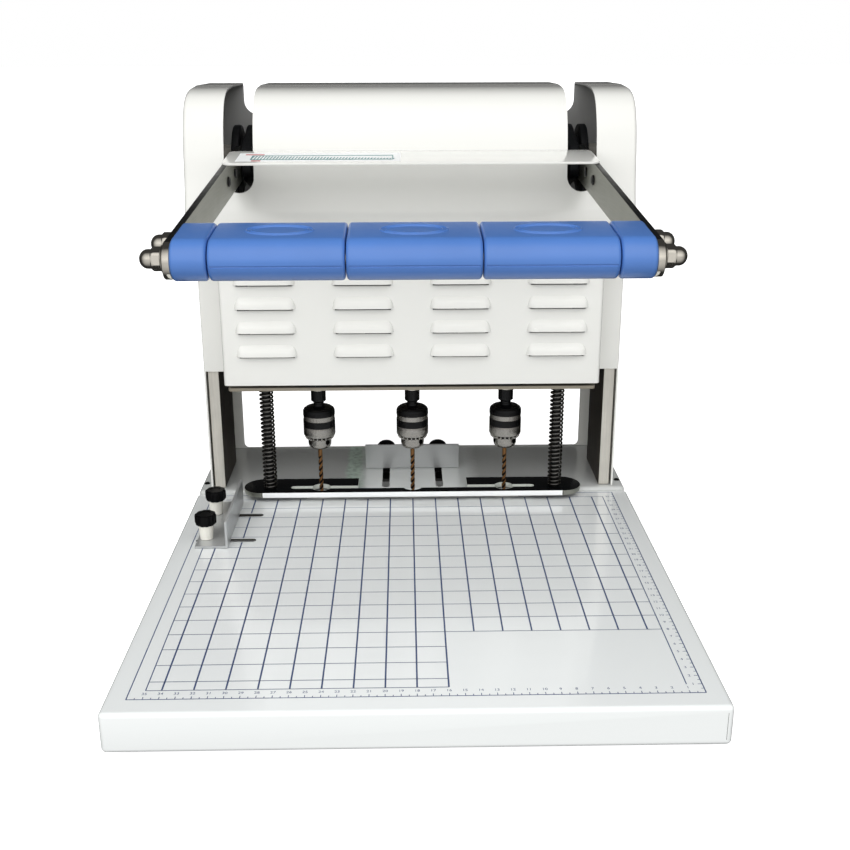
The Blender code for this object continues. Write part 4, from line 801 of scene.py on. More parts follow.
def makeLouvreCover(s):
    # A sheet bent to a U, with holes behind the louvres.
    half, t, r, front = s["half"], s["sheet"], s["corner"], s["frontY"]
    right, left = (half - r, front + r), (-half + r, front + r)
    outline = np.concatenate([
        [(half, s["rearY"])], arcPoints(right, r, 0, -quarter, 6), arcPoints(left, r, -quarter, -math.pi, 6),
        [(-half, s["rearY"])], [(-half + t, s["rearY"])], arcPoints(left, r - t, -math.pi, -quarter, 6),
        arcPoints(right, r - t, -quarter, 0, 6), [(half - t, s["rearY"])]])
    cover = plate("louvreCover", outline, s["low"], machine["seamZ"], sheetEdge, "Z", "coverEnamel")
    holes, shells = [], []
    reach = s["length"] / 2 - s["holeInset"]
    near, far = s["holeY"]
    for column in range(s["columns"]):
        x = (column - (s["columns"] - 1) / 2) * s["pitchX"]
        for row in range(s["rows"]):
            z = s["firstZ"] + row * s["pitchZ"]
            holes.append(boxCutter((x - reach, front + near, z - s["gape"]),
                                   (x + reach, front + far, z + s["height"] - s["holeTop"])))
            shells.append(louvreShell(x, z, s))
    carve(cover, together("holes", holes))
    x, y, z = faceCentres(cover)[0].T
    # Faces inside the U get painted shade.
    dress(cover, "insideShade", (np.abs(x) < half - 0.6 * t) & (y > front + 0.6 * t) & (z > s["low"] + 0.0005))
    return settle(together("louvreCover", [cover] + shells), "louvre_cover")


makeLouvreCover(louvres)

rear = {"outline": (-0.1804, 0.1804, 0.0358, machine["seamZ"], 0.0015), "front": 0.229, "rear": 0.2305,
        "window": (-0.167, 0.167, 0.0363, 0.135, 0.005, 8), "inlet": (0.0757, 0.1043, 0.1942, 0.2408, 0.0005),
        "cut": (0.22, 0.24)}


def makeRearPanel(r):
    # A sheet with the throat's window and the inlet's hole.
    panel = plate("rearPanel", roundedLoop(*r["outline"]), r["front"], r["rear"], sheetEdge, "Y", "coverEnamel")
    cutters = [punch(roundedLoop(*r[hole]), *r["cut"], "Y") for hole in ("window", "inlet")]
    return settle(carve(panel, *cutters), "rear_panel")


makeRearPanel(rear)
print("covers made")

arms = {
    "inner": 0.1375, "outer": 0.142, "rounding": 0.0005,
    "front": (-0.342, 0.0053), "frontRadius": 0.0108, "rear": (-0.041, 0.0025), "rearRadius": 0.0136,
    "holes": [(-0.0865, 0.003, 0.0032), (-0.122, 0.004, 0.0032)], "blackFrom": -0.335,
    "rivetHead": 0.0018, "rivetEnd": 0.0009, "rivetGap": 0.00005,
}


def makeArm(side, way, a):
    # A flat bar with round ends and two holes, dark rivets in them, a painted dark reflection along its upper
    # edge and a painted highlight on its front end.
    loop = bandLoop(a["front"], a["frontRadius"], a["rear"], a["rearRadius"], 20)
    low, high = sorted((way * a["inner"], way * a["outer"]))
    arm = plate(f"arm.{side}", loop, low, high, a["rounding"], "X", "armNickel", 4, tilted=True)
    carve(arm, *[punch(circle((y, z), r, 28), low - past, high + past, "X", tilted=True)
                 for y, z, r in a["holes"]])
    centres, normals = faceCentres(arm)
    local = centres[:, 1] - machine["pivot"][1]
    edge = np.abs(normals[:, 0]) < 0.6
    # Upward-facing edges get a painted dark reflection.
    dress(arm, "armEdgeDarkReflection", edge & (normals[:, 2] > 0) & (local > a["blackFrom"]))
    # The front end's edge is given bright nickel as a painted highlight.
    dress(arm, "brightNickel", edge & (local <= a["blackFrom"]))
    stem, head, far = a["inner"], a["inner"] - a["rivetHead"], a["outer"] - a["rivetEnd"]
    parts = [arm]
    for y, z, r in a["holes"]:
        shank = r - a["rivetGap"]
        rivet = [(0, head), (0.7 * r, head), (1.15 * r, head + 0.0007), (1.2 * r, stem - 0.0001), (shank, stem),
                 (shank, far), (0, far)]
        parts.append(spun("rivet", np.array(rivet) * (1, way), (0, y, z), "darkSteel", 24, "X", tilted=True))
    return settle(together(f"arm.{side}", parts), f"arm_{side}")


for side, way in sides:
    makeArm(side, way, arms)

grip = {
    "frontY": -0.3436, "rearY": -0.311, "z": 0.0065, "radius": 0.0124, "rounding": 0.0022,
    "endLength": 0.0205, "longLength": 0.077, "gap": 0.0006, "start": -0.1372,
    "grooveTurn": math.radians(187), "groove": 0.0007, "grooveRoom": 0.0015,
    "badge": ((0.0195, 0.0112), (0.0165, 0.0088)), "badgeWire": 0.00065, "badgeSink": 0.0001,
}


def makeGrip(node, low, high, g, long):
    # A band round both rods, rounded at its ends. The long ones have a groove along the front and two
    # raised ovals on top: x = c + a cos t, y = m + b sin t.
    r, z = g["radius"], g["z"]
    loop = bandLoop((g["frontY"], z), r, (g["rearY"], z), r, 22)
    body = plate(node, loop, low, high, g["rounding"], "X", "gripPlastic", 7, tilted=True)
    if not long:
        return settle(body, node)
    x = np.linspace(low + g["grooveRoom"], high - g["grooveRoom"], 12)
    turn = g["grooveTurn"]
    line = np.stack([x, g["frontY"] + r * math.cos(turn) + 0 * x, z + r * math.sin(turn) + 0 * x], 1)
    carve(body, tube("cutter", line, g["groove"], tilted=True))
    parts = [body]
    t = angles(64)
    x, y, top = (low + high) / 2, (g["frontY"] + g["rearY"]) / 2, z + r - g["badgeSink"]
    for halfLength, halfWidth in g["badge"]:
        oval = np.stack([x + halfLength * np.cos(t), y + halfWidth * np.sin(t), top + 0 * t], 1)
        parts.append(tube("badge", oval, g["badgeWire"], "gripPlastic", 8, closed=True, tilted=True))
    return settle(together(node, parts), node)


gripStart = grip["start"]
for part in ("end_left", "left", "middle", "right", "end_right"):
    long = not part.startswith("end")
    gripLength = grip["longLength"] if long else grip["endLength"]
    makeGrip(f"grip_{part}", gripStart, gripStart + gripLength, grip, long)
    gripStart += gripLength + grip["gap"]

nuts = {
    "seat": 0.1423, "rodRadius": 0.0039, "washerRadius": 0.0078, "washer": 0.001, "flats": 0.0125,
    "hex": 0.0055, "domeRadius": 0.0056, "dome": 0.0072, "straight": 0.3, "z": 0.0068, "turn": math.radians(12),
}


def hexHead(name, centre, flats, low, high, finish, turn):
    # A six-sided prism whose corners are turned down at the far end: the distance from the axis is the
    # lesser of the hexagon's own and a cone's, which falls from the corner towards that end.
    a = angles(48)
    wedge = np.abs((a + turn) % (math.pi / 3) - math.pi / 6)
    hexagon = flats / 2 / np.cos(math.pi / 6 - wedge)
    level = np.linspace(0, 1, 9)[:, None]
    cone = flats / 2 * (1 + 0.155 * np.clip((1 - level) / 0.22, 0, 1) - 0.03 * (level > 0.99))
    radius = np.minimum(hexagon, cone)
    rings = np.stack([low + (high - low) * level + 0 * radius, centre[0] + radius * np.cos(a),
                      centre[1] + radius * np.sin(a)], 2)
    return ringStack(name, rings, finish, tilted=True)


def makeGripRod(node, y, n):
    # A rod through the grips with a washer, a hexagon and a domed end outside each arm.
    seat, r, z, top = n["seat"], n["washerRadius"], n["z"], n["seat"] + n["washer"]
    base = top + n["hex"]
    a = np.linspace(0, quarter, 9)
    disc = [(0, seat), (r - 0.0003, seat), (r, seat + 0.0003), (r, top - 0.0005), (r - 0.0005, top), (0, top)]
    straight = n["dome"] * n["straight"]
    dome = [(0, base - 0.0002), (n["domeRadius"], base - 0.0002),
            *zip(n["domeRadius"] * np.cos(a), base + straight + (n["dome"] - straight) * np.sin(a))]
    rod = [(0, -seat), (n["rodRadius"], -seat), (n["rodRadius"], seat), (0, seat)]
    parts = [spun(node, rod, (0, y, z), "brightNickel", 24, "X", tilted=True)]
    for _, way in sides:
        parts += [
            spun("washer", np.array(disc) * (1, way), (0, y, z), "brightNickel", 48, "X", tilted=True),
            hexHead("hex", (y, z), n["flats"], way * (top - 0.0001), way * base, "brightNickel", n["turn"]),
            spun("dome", np.array(dome) * (1, way), (0, y, z), "brightNickel", 32, "X", tilted=True)]
    return settle(together(node, parts), node)


makeGripRod("grip_rod_front", grip["frontY"], nuts)
makeGripRod("grip_rod_rear", grip["rearY"], nuts)

brace = {
    "outline": (-0.142, 0.142, -0.1235, -0.0735, 0.006, 8), "low": 0.0161, "high": 0.0179, "rounding": 0.0005,
    "lift": 0.00002, "ink": 0.00004, "band": ([(-0.1325, -0.1)], [(-0.0080, -0.1)]), "bandWidth": 0.033,
    "ruleX": (-0.1215, -0.0140), "ruleY": (-0.1100, -0.0945), "longWidth": 0.0024, "endWidth": 0.0008,
    "ticks": 46, "tickSlant": 0.0012, "tickWidth": 0.0010, "tickShares": (0.95, 0.3),
    "marks": ([(-0.1275, -0.09), (-0.1205, -0.1145)], [(-0.1130, -0.09), (-0.1135, -0.1145)]),
    "markWidth": 0.004,
}


def makeBrace(b):
    # A flat bar across the arms, with a white band printed on its left half, a long framed rule with
    # slanting ticks that grow shorter along it, and two short red marks.
    bar = plate("brace", roundedLoop(*b["outline"]), b["low"], b["high"], b["rounding"], "Z", "coverEnamel", 5,
                tilted=True)
    (left, right), (near, far) = b["ruleX"], b["ruleY"]
    x = np.linspace(left, right, b["ticks"])
    top = near + (far - near) * np.linspace(*b["tickShares"], b["ticks"])
    first = b["high"] + b["lift"]
    second = first + b["ink"] + b["lift"]
    parts = [bar]
    for name, starts, ends, width, low, ink in (
            ("band", *b["band"], "bandWidth", first, "inkWhite"),
            ("ticks", np.stack([x, near + 0 * x], 1), np.stack([x + b["tickSlant"], top], 1), "tickWidth",
             second, "inkTeal"),
            ("marks", *b["marks"], "markWidth", second, "inkRed"),
            ("rule", [(left, near), (left, far)], [(right, near), (right, far)], "longWidth", second, "inkTeal"),
            ("rule", [(left, near), (right, near)], [(left, far), (right, far)], "endWidth", second, "inkTeal")):
        parts.append(slabs(name, starts, ends, b[width], low, b["ink"], ink, tilted=True))
    return settle(together("brace", parts), "brace_plate")


makeBrace(brace)

crank = {
    "sleeve": 0.0159, "bore": 0.0103, "flange": 0.026, "inner": (0.1287, 0.1372), "outer": (0.1423, 0.1488),
    "lug": (-0.040, 0.0025), "lugRadius": 0.014, "throw": 0.039, "drop": 0.02758, "lobe": 0.010,
    "pinRadius": 0.0045, "pinStart": 0.1458, "pinEnd": 0.1623, "pinEase": 0.0006, "rounding": 0.0012,
    "bolts": [(-0.046, 0.008), (-0.032, -0.004)], "boltFlats": 0.0075, "boltX": (0.1289, 0.1265),
    "boltTurn": math.radians(20),
}


def makeCrank(side, way, c):
    # A casting: a sleeve, two flanges, the head's pin at throw (cos s, sin s) with the slant
    # s = asin(drop / throw) - tilt, and two bolt heads.
    slant = math.asin(c["drop"] / c["throw"]) - machine["tilt"]
    pin = (-c["throw"] * math.cos(slant), -c["throw"] * math.sin(slant))
    bore, sleeve = c["bore"], c["sleeve"]
    first, last = c["inner"][0], c["outer"][1]
    hub = np.array([(bore, first), (sleeve, first), (sleeve, last), (bore, last)]) * (1, way)
    parts = [spun("hub", hub, (0, 0, 0), "castBlack", 48, "X", tilted=True, closed=True)]
    for ends, centre, radius in ((c["inner"], c["lug"], c["lugRadius"]), (c["outer"], pin, c["lobe"])):
        low, high = sorted(way * x for x in ends)
        loop = bandLoop((0, 0), c["flange"], centre, radius, 20)
        flange = plate("flange", loop, low, high, c["rounding"], "X", "castBlack", 4, tilted=True)
        parts.append(carve(flange, punch(circle((0, 0), bore, 48), low - past, high + past, "X", tilted=True)))
    r, start, end, ease = c["pinRadius"], c["pinStart"], c["pinEnd"], c["pinEase"]
    stud = np.array([(0, start), (r, start), (r, end - ease), (r - ease, end), (0, end)]) * (1, way)
    parts.append(spun("pin", stud, (0, *pin), "darkSteel", 28, "X", tilted=True))
    near, far = c["boltX"]
    parts += [hexHead("bolt", place, c["boltFlats"], way * near, way * far, "blackOxide", c["boltTurn"])
              for place in c["bolts"]]
    return settle(together(f"crank.{side}", parts), f"crank_{side}")


for side, way in sides:
    makeCrank(side, way, crank)
print("handle made")

headPlate = {"outline": (-0.1565, 0.1565, 0.0895, 0.225, 0.002), "low": 0.1373, "high": 0.1403,
             "rounding": 0.0004, "spindleHole": 0.0068, "rodX": 0.127, "rodHole": 0.0043}


def makeHeadPlate(h):
    # A flat plate with holes for the spindles and the clamp's rods.
    bar = plate("headPlate", roundedLoop(*h["outline"]), h["low"], h["high"], h["rounding"], "Z", "plateSteel")
    holes = [(x, h["spindleHole"]) for x in machine["drillX"].values()]
    holes += [(way * h["rodX"], h["rodHole"]) for _, way in sides]
    carve(bar, *[punch(circle((x, machine["drillY"]), r, 32), h["low"] - past, h["high"] + past)
                 for x, r in holes])
    return settle(bar, "head_plate")


makeHeadPlate(headPlate)

# Heights above the table, radii from the drill's line.
chuckShape = {
    "cap": [(0, 0.0874), (0.0048, 0.0874), (0.0052, 0.0862), (0.0078, 0.0856), (0.0112, 0.0845),
            (0.0131, 0.0832), (0.0138, 0.0818), (0.0139, 0.0805), (0.0139, 0.0779), (0, 0.0779)],
    "capHighlightRing": [(0.0117, 0.0841), (0.0117, 0.08435), (0.0111, 0.0847), (0.0106, 0.0847), (0.0106, 0.0842)],
    "silver": [(0, 0.0779), (0.0136, 0.0779), (0.0136, 0.0737), (0, 0.0737)],
    "dark": [(0, 0.0737), (0.0139, 0.0737), (0.0139, 0.0677), (0, 0.0677)],
    "body": [(0, 0.0677), (0.0138, 0.0677), (0.0139, 0.0672), (0.0139, 0.0605), (0.0135, 0.0594),
             (0.0122, 0.0588), (0, 0.0588)],
    "gap": [(0, 0.0590), (0.0104, 0.0590), (0.0104, 0.0565), (0, 0.0565)],
    "nose": [(0, 0.0592), (0.0100, 0.0592), (0.0101, 0.0520), (0.0098, 0.0500), (0.0090, 0.0484),
             (0.0073, 0.0471), (0.0050, 0.0464), (0.0024, 0.0462), (0.0020, 0.0480), (0, 0.0480)],
    "collar": [(0.00656, 0.1038), (0.0070, 0.1040), (0.0070, 0.1006), (0.00656, 0.1006)],
    "teeth": 22, "toothRoot": 0.0101, "toothTip": 0.0131,
    "toothShares": [(1.0, 0.0592), (0.97, 0.0570), (0.9, 0.0562)],       # of the radius, at these heights
    "keyHole": 0.0025, "keyHoleZ": 0.0538, "keyHoleReach": (0.0065, 0.0125), "keyHoleTurns": (48, 168, 288),
    "holeWall": 0.0094, "holeHalf": 0.0032,      # nearer to the axis and to the holes than these it is dark
    "knurl": 72, "knurlDepth": 0.00012, "knurlFrom": 0.013,
}


def knurledBand(name, profile, centre, c):
    # A turned band with fine upright flutes: the outer radius is r (1 - d |sin(n a / 2)|).
    steps = 4 * c["knurl"]
    depth = c["knurlDepth"] / max(radius for radius, _ in profile)
    wave = 1 - depth * np.abs(np.sin(c["knurl"] * angles(steps) / 2))
    return spun(name, profile, centre, "chuckSteel", steps, flute=fluted(profile, c["knurlFrom"], wave))


def keyTeeth(centre, c):
    # A ring of teeth for the key: the radius swings between root and tip as a squared-off sine, and
    # shrinks downwards.
    steps = c["teeth"] * 8
    swing = np.clip(0.4 + 1.6 * np.sin(c["teeth"] * angles(steps)), 0, 1)
    radius = c["toothRoot"] + (c["toothTip"] - c["toothRoot"]) * swing
    return spun("teeth", c["toothShares"], centre, "chuckSteel", steps, flute=radius[None])


def makeChuck(side, c):
    # A key chuck: black cap, knurled bands, toothed rim and a nose with three holes for the key's pilot.
    # A bright collar sits on the spindle above it.
    centre = np.array([machine["drillX"][side], machine["drillY"], machine["tableZ"]])
    nose = spun("nose", c["nose"], centre, "chuckSteel", 64)
    pilots = []
    for turn in c["keyHoleTurns"]:
        a = math.radians(turn - 90)
        path = np.outer(np.linspace(*c["keyHoleReach"], 4), (math.cos(a), math.sin(a), 0))
        pilots.append(tube("cutter", path + centre + (0, 0, c["keyHoleZ"]), c["keyHole"], steps=20))
    carve(nose, *pilots)
    x, y, z = (faceCentres(nose)[0] - centre).T
    # The walls inside the key holes are painted black as painted shade.
    dress(nose, "blackOxide", (np.hypot(x, y) < c["holeWall"]) & (np.abs(z - c["keyHoleZ"]) < c["holeHalf"]))
    # The ring on the cap is a small bead in lighter steel, its colour a painted highlight.
    parts = [spun("cap", c["cap"], centre, "blackOxide", 64), knurledBand("silver", c["silver"], centre, c),
             spun("dark", c["dark"], centre, "blackOxide", 64), knurledBand("body", c["body"], centre, c),
             spun("gap", c["gap"], centre, "blackOxide"), keyTeeth(centre, c), nose,
             spun("capHighlightRing", c["capHighlightRing"], centre, "darkSteel", 64, closed=True)]
    collar = spun(f"spindleCollar.{side}", c["collar"], centre, "brightNickel", closed=True)
    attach(collar, bodyOf[f"spindle_{side}"])
    return settle(together(f"chuck.{side}", parts), f"chuck_{side}")


bit = {"radius": 0.0019, "top": 0.0485, "fluteTop": 0.0405, "low": 0.0016, "tip": 0.0012, "pitch": 0.0118,
       "web": 0.45, "fade": 0.004, "shank": 0.003, "tipShare": 0.12}


def makeDrill(side, b):
    # A twist drill: at height z the section is turned by 2 pi z / pitch, and its radius falls from r
    # towards the web in two flutes, r (1 - w max(0, cos 2a)^0.8), which fade out below the shank.
    z = np.append(np.linspace(b["low"] + b["tip"], b["fluteTop"] + b["shank"], 110), b["top"])[:, None]
    a = angles(48)[None, :]
    fade = np.clip((b["fluteTop"] - z) / b["fade"], 0, 1)
    depth = np.clip(np.cos(2 * (a - around * z / b["pitch"])), 0, 1) ** 0.8 * fade
    radius = b["radius"] * (1 - b["web"] * depth)
    middle = np.array([machine["drillX"][side], machine["drillY"], machine["tableZ"]])
    rings = np.stack([radius * np.cos(a), radius * np.sin(a), z + 0 * a], -1)
    tip = rings[:1] * (b["tipShare"], b["tipShare"], 1)
    tip[..., 2] = b["low"]
    drill = ringStack(f"drill.{side}", np.concatenate([tip, rings]) + middle, "drillGold")
    points = np.empty(3 * len(drill.data.vertices))
    drill.data.vertices.foreach_get("co", points)
    x, y, _ = (points.reshape(-1, 3) - middle).T
    value = (1 - np.hypot(x, y) / b["radius"]) / b["web"]
    drill.data.attributes.new("fluteDepth", "FLOAT", "POINT").data.foreach_set("value", np.clip(value, 0, 1))
    return settle(drill, f"drill_bit_{side}")


for side in machine["drillX"]:
    makeChuck(side, chuckShape)
    makeDrill(side, bit)
print("chucks and drills made")

clampPlate = {
    "half": 0.151, "middleY": 0.11175, "halfDepth": 0.01725, "low": 0.0373, "high": 0.0417, "rounding": 0.0004,
    "notch": 0.049, "notchBack": 0.1575, "slot": 0.003, "slotX": (0.106, 0.046), "eye": 0.0085,
    "cut": (0.0343, 0.0447),
    "rim": 0.0006, "stripX": 0.133, "stripLift": 0.0002, "stripRim": 0.0001,
}


def makeClampPlate(c):
    # A round-ended bar cut by the drills' eyes, a slot and the rear notch, with a bright edge in front.
    end, drillY, stripX, ease = c["half"] - c["halfDepth"], machine["drillY"], c["stripX"], c["stripRim"]
    outline = bandLoop((-end, c["middleY"]), c["halfDepth"], (end, c["middleY"]), c["halfDepth"], 28)
    bar = plate("clampPlate", outline, c["low"], c["high"], c["rounding"], "Z", "plateBlack", 5)
    loops = [roundedLoop(-c["notch"], c["notch"], drillY - c["slot"], c["notchBack"], 0.0008)]
    loops += [circle((x, drillY), c["eye"], 40) for x in machine["drillX"].values()]
    outer, inner = c["slotX"]
    loops += [bandLoop((way * outer, drillY), c["slot"], (way * inner, drillY), c["slot"], 10)
              for _, way in sides]
    carve(bar, *[punch(loop, *c["cut"]) for loop in loops])
    centres, normals = faceCentres(bar)
    upright = np.abs(normals[:, 2]) < 0.75
    rim = depthInside(centres[:, :2], outline) < c["rim"]
    front = rim & (normals[:, 1] < -0.95) & (np.abs(centres[:, 0]) < stripX)
    dress(bar, "armNickel", upright & rim & ~front)
    # The walls of the slots, eyes and notch are bare cut edges painted near white as a painted highlight.
    dress(bar, "slotWallHighlight", upright & ~rim)
    face = c["middleY"] - c["halfDepth"]
    near, far = face - c["stripLift"], face + ease
    strip = plate("strip", [(-stripX, near), (stripX, near), (stripX, far), (-stripX, far)], c["low"] - ease,
                  c["high"] + ease, ease, "Z", "inkWhite", 2)
    return settle(together("clampPlate", [bar, strip]), "clamp_plate")


makeClampPlate(clampPlate)

rods = {
    "x": 0.127,
    "rod": [(0, 0.1456), (0.0069, 0.1456), (0.0075, 0.1450), (0.0075, 0.1406), (0.0039, 0.1406),
            (0.0039, 0.0432), (0.0044, 0.0430), (0.0044, 0.042), (0, 0.042)],
    "springRadius": 0.0054, "wire": 0.0009, "springLow": 0.0423, "springHigh": 0.1371, "turns": 26,
    "touch": 2.05,                   # the wire's radii from turn to turn at the closed ends
}


def makeRodAndSpring(side, way, r):
    # The rod with its foot washer and head, and its spring: x = r cos a, y = r sin a while z climbs
    # evenly but for a closed turn at each end, where it climbs by the wire's thickness.
    x, y, wire = way * r["x"], machine["drillY"], r["wire"]
    settle(spun(f"clampRod.{side}", r["rod"], (x, y, 0), "rodSteel", 36), f"clamp_rod_{side}")
    a = np.linspace(0, around * r["turns"], r["turns"] * 28)
    share, dead = a / a[-1], 1 / r["turns"]
    climb = np.clip((share - dead) / (1 - 2 * dead), 0, 1)
    lift = wire * r["touch"] * (np.clip(share / dead, 0, 1) + np.clip((share - 1 + dead) / dead, 0, 1))
    room = r["springHigh"] - r["springLow"] - 2 * wire - 2 * r["touch"] * wire
    path = np.stack([x + r["springRadius"] * np.cos(a), y + r["springRadius"] * np.sin(a),
                     r["springLow"] + wire + lift + room * climb], 1)
    settle(tube(f"clampSpring.{side}", path, wire, "springSteel"), f"clamp_spring_{side}")


for side, way in sides:
    makeRodAndSpring(side, way, rods)
print("clamp made")


def angleLoop(inner, outer, edge, low, high, bend=0.0008):
    # An L from the end: the fence's face, its top edge, down to the flange and out to its edge.
    top = low + abs(outer - inner)
    return np.array([(inner, low + bend), (inner, high), (outer, high), (outer, top), (edge, top), (edge, low),
                     (inner - math.copysign(bend, inner - edge), low)])


fastener = {"stud": 0.0019, "nut": 0.0052, "edge": 0.0002}       # radii, and the nut's rounding


def studAndNut(place, stud, nut):
    # Under an angle, a round stud and a six-sided nut, each between two heights.
    low, high = stud
    r = fastener["stud"]
    return [spun("stud", [(0, high), (r, high), (r, low), (0, low)], (*place, 0), "darkSteel", 20),
            plate("nut", circle(place, fastener["nut"], 6), *nut, fastener["edge"], "Z", "darkSteel")]


fence = {
    "angle": (-0.1495, -0.1515, -0.176, 0.0333, 0.0563), "front": -0.0015, "rear": 0.0915, "edge": 0.0002,
    "knobX": -0.169, "knobY": {"front": 0.0145, "rear": 0.066},
    "stud": (0.0286, 0.0406), "nut": (0.0282, 0.0311),
}


def makeSideGuide(f):
    # A bent angle with a stud at each of the table's slots.
    parts = [plate("sideGuide", angleLoop(*f["angle"]), f["front"], f["rear"], f["edge"], "Y",
                   "stopAluminium")]
    for y in f["knobY"].values():
        parts += studAndNut((f["knobX"], y), f["stud"], f["nut"])
    return settle(together("sideGuide", parts), "side_guide")


knob = {
    "collar": [(0.0023, 0.0356), (0.0052, 0.0356), (0.0053, 0.0366), (0.0062, 0.0471), (0.0062, 0.0481),
               (0.0023, 0.0481)],
    "head": [(0.0023, 0.0481), (0.0076, 0.0481), (0.0086, 0.0493), (0.0088, 0.0501), (0.0088, 0.0559),
             (0.0084, 0.05667), (0.0074, 0.0573), (0.0045, 0.0573), (0.0041, 0.0569), (0, 0.0569)],
    "facets": 10, "facetDepth": 0.0003, "radius": 0.0088, "facetFrom": 0.007,
}


def makeGuideKnob(name, place, k):
    # A cream collar, narrower below, under a black head with flat facets: r (1 - d (1 - cos n a)).
    steps = k["facets"] * 12
    wave = 1 - k["facetDepth"] / k["radius"] * (1 - np.cos(k["facets"] * angles(steps)))
    wave = fluted(k["head"], k["facetFrom"], wave)
    parts = [spun("collar", k["collar"], (*place, 0), "creamNylon", 40, closed=True),
             spun("head", k["head"], (*place, 0), "knobPlastic", steps, flute=wave)]
    return settle(together(f"guideKnob.{name}", parts), f"guide_knob_{name}")


makeSideGuide(fence)
for name, y in fence["knobY"].items():
    makeGuideKnob(name, (fence["knobX"], y), knob)

stop = {
    "angle": (0.1685, 0.1705, 0.1945, 0.0358, 0.0595), "half": 0.0442, "knobX": 0.0245, "knobY": 0.1805,
    "stud": (0.0295, 0.0431), "nut": (0.0292, 0.0321), "knobRadius": 0.0085, "knobHigh": 0.06, "dome": 0.006,
    "neck": [(0.0085, 0.0459), (0.0077, 0.0451), (0.005, 0.0451), (0.005, 0.0381), (0.0023, 0.0381),
             (0.0023, 0.0435), (0, 0.0435)],
}


def makeBackStop(s):
    # A bent angle across the machine, with a stud and a nut below each knob.
    parts = [plate("backStop", angleLoop(*s["angle"]), -s["half"], s["half"], sheetEdge, "X", "stopAluminium")]
    for _, way in sides:
        parts += studAndNut((way * s["knobX"], s["knobY"]), s["stud"], s["nut"])
    return settle(together("backStop", parts), "back_stop")


def makeStopKnob(side, way, s):
    # A straight-sided knob with a low dome: radius r sin a, height top - d (1 - cos a).
    a = np.linspace(0, quarter, 12)
    profile = [*zip(s["knobRadius"] * np.sin(a), s["knobHigh"] - s["dome"] * (1 - np.cos(a))), *s["neck"]]
    piece = spun(f"stopKnob.{side}", profile, (way * s["knobX"], s["knobY"], 0), "knobPlastic", 56)
    return settle(piece, f"stop_knob_{side}")


makeBackStop(stop)
for side, way in sides:
    makeStopKnob(side, way, stop)
print("guide, stop and knobs made")

view = {
    "place": (-0.00569, -0.81519, 0.41222),
    "yaw": math.radians(1.045), "pitch": math.radians(18.706), "roll": math.radians(-0.147),
    "lens": 46.85,
}


def makeCamera(v):
    # Ahead is (sin yaw cos pitch, cos yaw cos pitch, -sin pitch); right is level, up square to both, and
    # both are turned about the line ahead by the roll.
    yaw, pitch, roll = v["yaw"], v["pitch"], v["roll"]
    ahead = np.array([math.sin(yaw) * math.cos(pitch), math.cos(yaw) * math.cos(pitch), -math.sin(pitch)])
    right = np.array([math.cos(yaw), -math.sin(yaw), 0])
    up = np.cross(right, ahead)
    matrix = np.eye(4)
    matrix[:3, 0] = math.cos(roll) * right + math.sin(roll) * up
    matrix[:3, 1] = -math.sin(roll) * right + math.cos(roll) * up
    matrix[:3, 2] = -ahead
    matrix[:3, 3] = v["place"]
    data = bpy.data.cameras.new("camera")
    data.lens, data.sensor_width = v["lens"], 36
    data.clip_start, data.clip_end = 0.01, 50
    camera = link(bpy.data.objects.new("camera", data))
    camera.matrix_world = Matrix(matrix.tolist())
    bpy.context.scene.camera = camera


studio = {
    "front": 0.78, "back": 0.02, "top": 3.25, "topBack": 0.03, "below": 0.4, "belowBack": 0.3,
    "mirrorLow": 0.62, "mirrorHigh": 1.0, "mirrorBack": 0.05,
    "floor": 231.1, "floorGlow": 0.75, "dark": (0.185, 0.225), "floorReach": 30,
    "lamps": [
        # place, aim, width, depth, watts
        ((-0.25, -1.5, 0.5), (0, 0.0, 0.28), 0.9, 0.25, 3.6),
        ((-0.9, -0.6, 0.9), (0, 0.1, 0.15), 0.5, 0.7, 1.0),
    ],
}


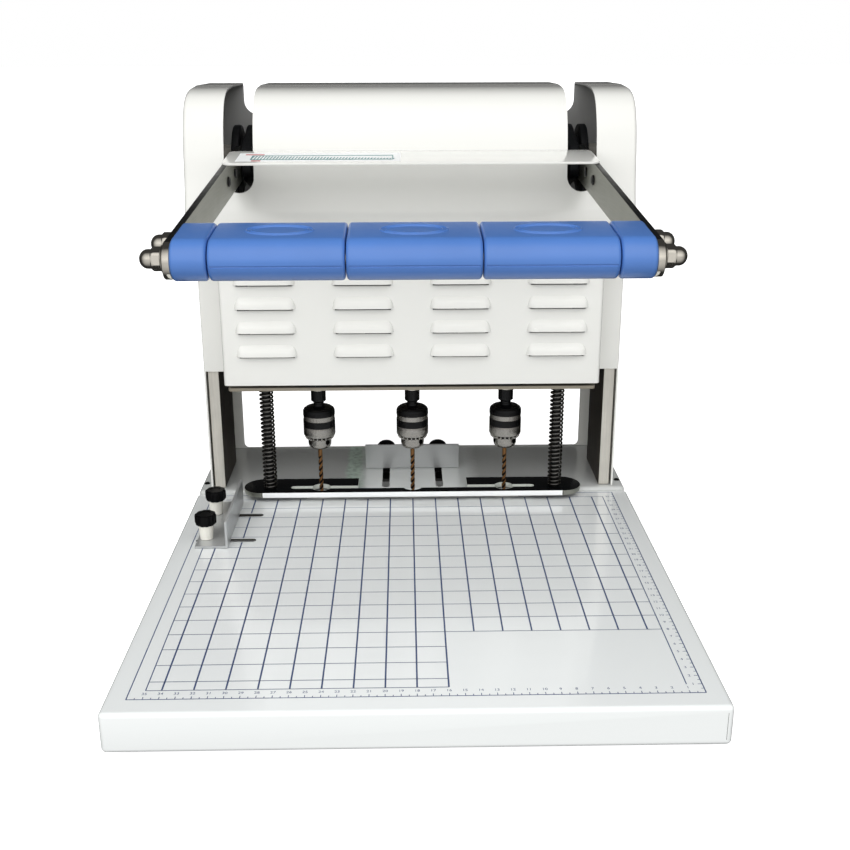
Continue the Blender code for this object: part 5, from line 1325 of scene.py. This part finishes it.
def makeWorld(s):
    # The strength by direction: strong in front, weak behind, its own value above and below the horizon.
    # Polished faces see a room with more contrast, and the camera a white backdrop.
    world = bpy.data.worlds.new("studio")
    bpy.context.scene.world = world
    world.use_nodes = True
    tree = world.node_tree
    _, back, up = axes(tree, "Generated")
    level = between(tree, back, s["front"], s["back"], -0.7, 0.7)
    above = between(tree, back, s["top"], s["top"] * s["topBack"], -0.75, 0.25)
    level = blend(tree, between(tree, up, 0, 1, 0.2, 0.9), level, above)
    under = between(tree, back, s["below"], s["below"] * s["belowBack"], -0.6, 0.6)
    level = blend(tree, between(tree, up, 1, 0, -0.1, 0.0), level, under)
    mirror = calc(tree, "MULTIPLY", between(tree, up, s["mirrorLow"], s["mirrorHigh"], -0.12, 0.3),
                  between(tree, back, 1, s["mirrorBack"], -0.95, -0.05))
    seen = tree.nodes.new("ShaderNodeLightPath")
    level = blend(tree, seen.outputs["Is Glossy Ray"], level, mirror)
    level = blend(tree, seen.outputs["Is Camera Ray"], level, 1.0)
    fill(tree, tree.nodes["Background"], 0, {"Strength": level, "Color": (1, 1, 1, 1)})


def makeStudio(s):
    # Soft boxes, and a pale glowing floor that lights nothing and is dark under the machine as a painted shadow.
    makeWorld(s)
    for i, (place, aim, width, depth, watts) in enumerate(s["lamps"]):
        data = bpy.data.lights.new(f"softbox{i}", "AREA")
        data.shape = "RECTANGLE"
        data.size, data.size_y, data.energy = width, depth, watts
        lamp = link(bpy.data.objects.new(f"softbox{i}", data))
        lamp.location = place
        lamp.visible_glossy = False
        lamp.rotation_euler = (Vector(aim) - Vector(place)).to_track_quat("-Z", "Y").to_euler()
    tree, shader = paintFinish("floorPaper", [s["floor"]] * 3, (0.7, 0.8), 0.0, 0.995, 0.0)
    # The glow stops over the machine's footprint, leaving a painted shadow under it.
    out = [calc(tree, "GREATER_THAN", calc(tree, "ABSOLUTE", value), reach)
           for value, reach in zip(axes(tree), s["dark"])]
    glow = calc(tree, "MULTIPLY", calc(tree, "MAXIMUM", *out), s["floorGlow"])
    fill(tree, shader, 0, {"Emission Strength": glow, "Emission Color": (1, 1, 1, 1),
                           "Specular IOR Level": 0.1})
    far = s["floorReach"]
    corners = [(-far, -far, 0), (far, -far, 0), (far, far, 0), (-far, far, 0)]
    floor = meshPiece("floor", corners, [[0, 1, 2, 3]], "floorPaper", smooth=False)
    floor.visible_diffuse = False
    floor.visible_glossy = False


makeCamera(view)
makeStudio(studio)
bpy.context.scene.view_settings.view_transform = "Standard"
print("camera, floor and light set")
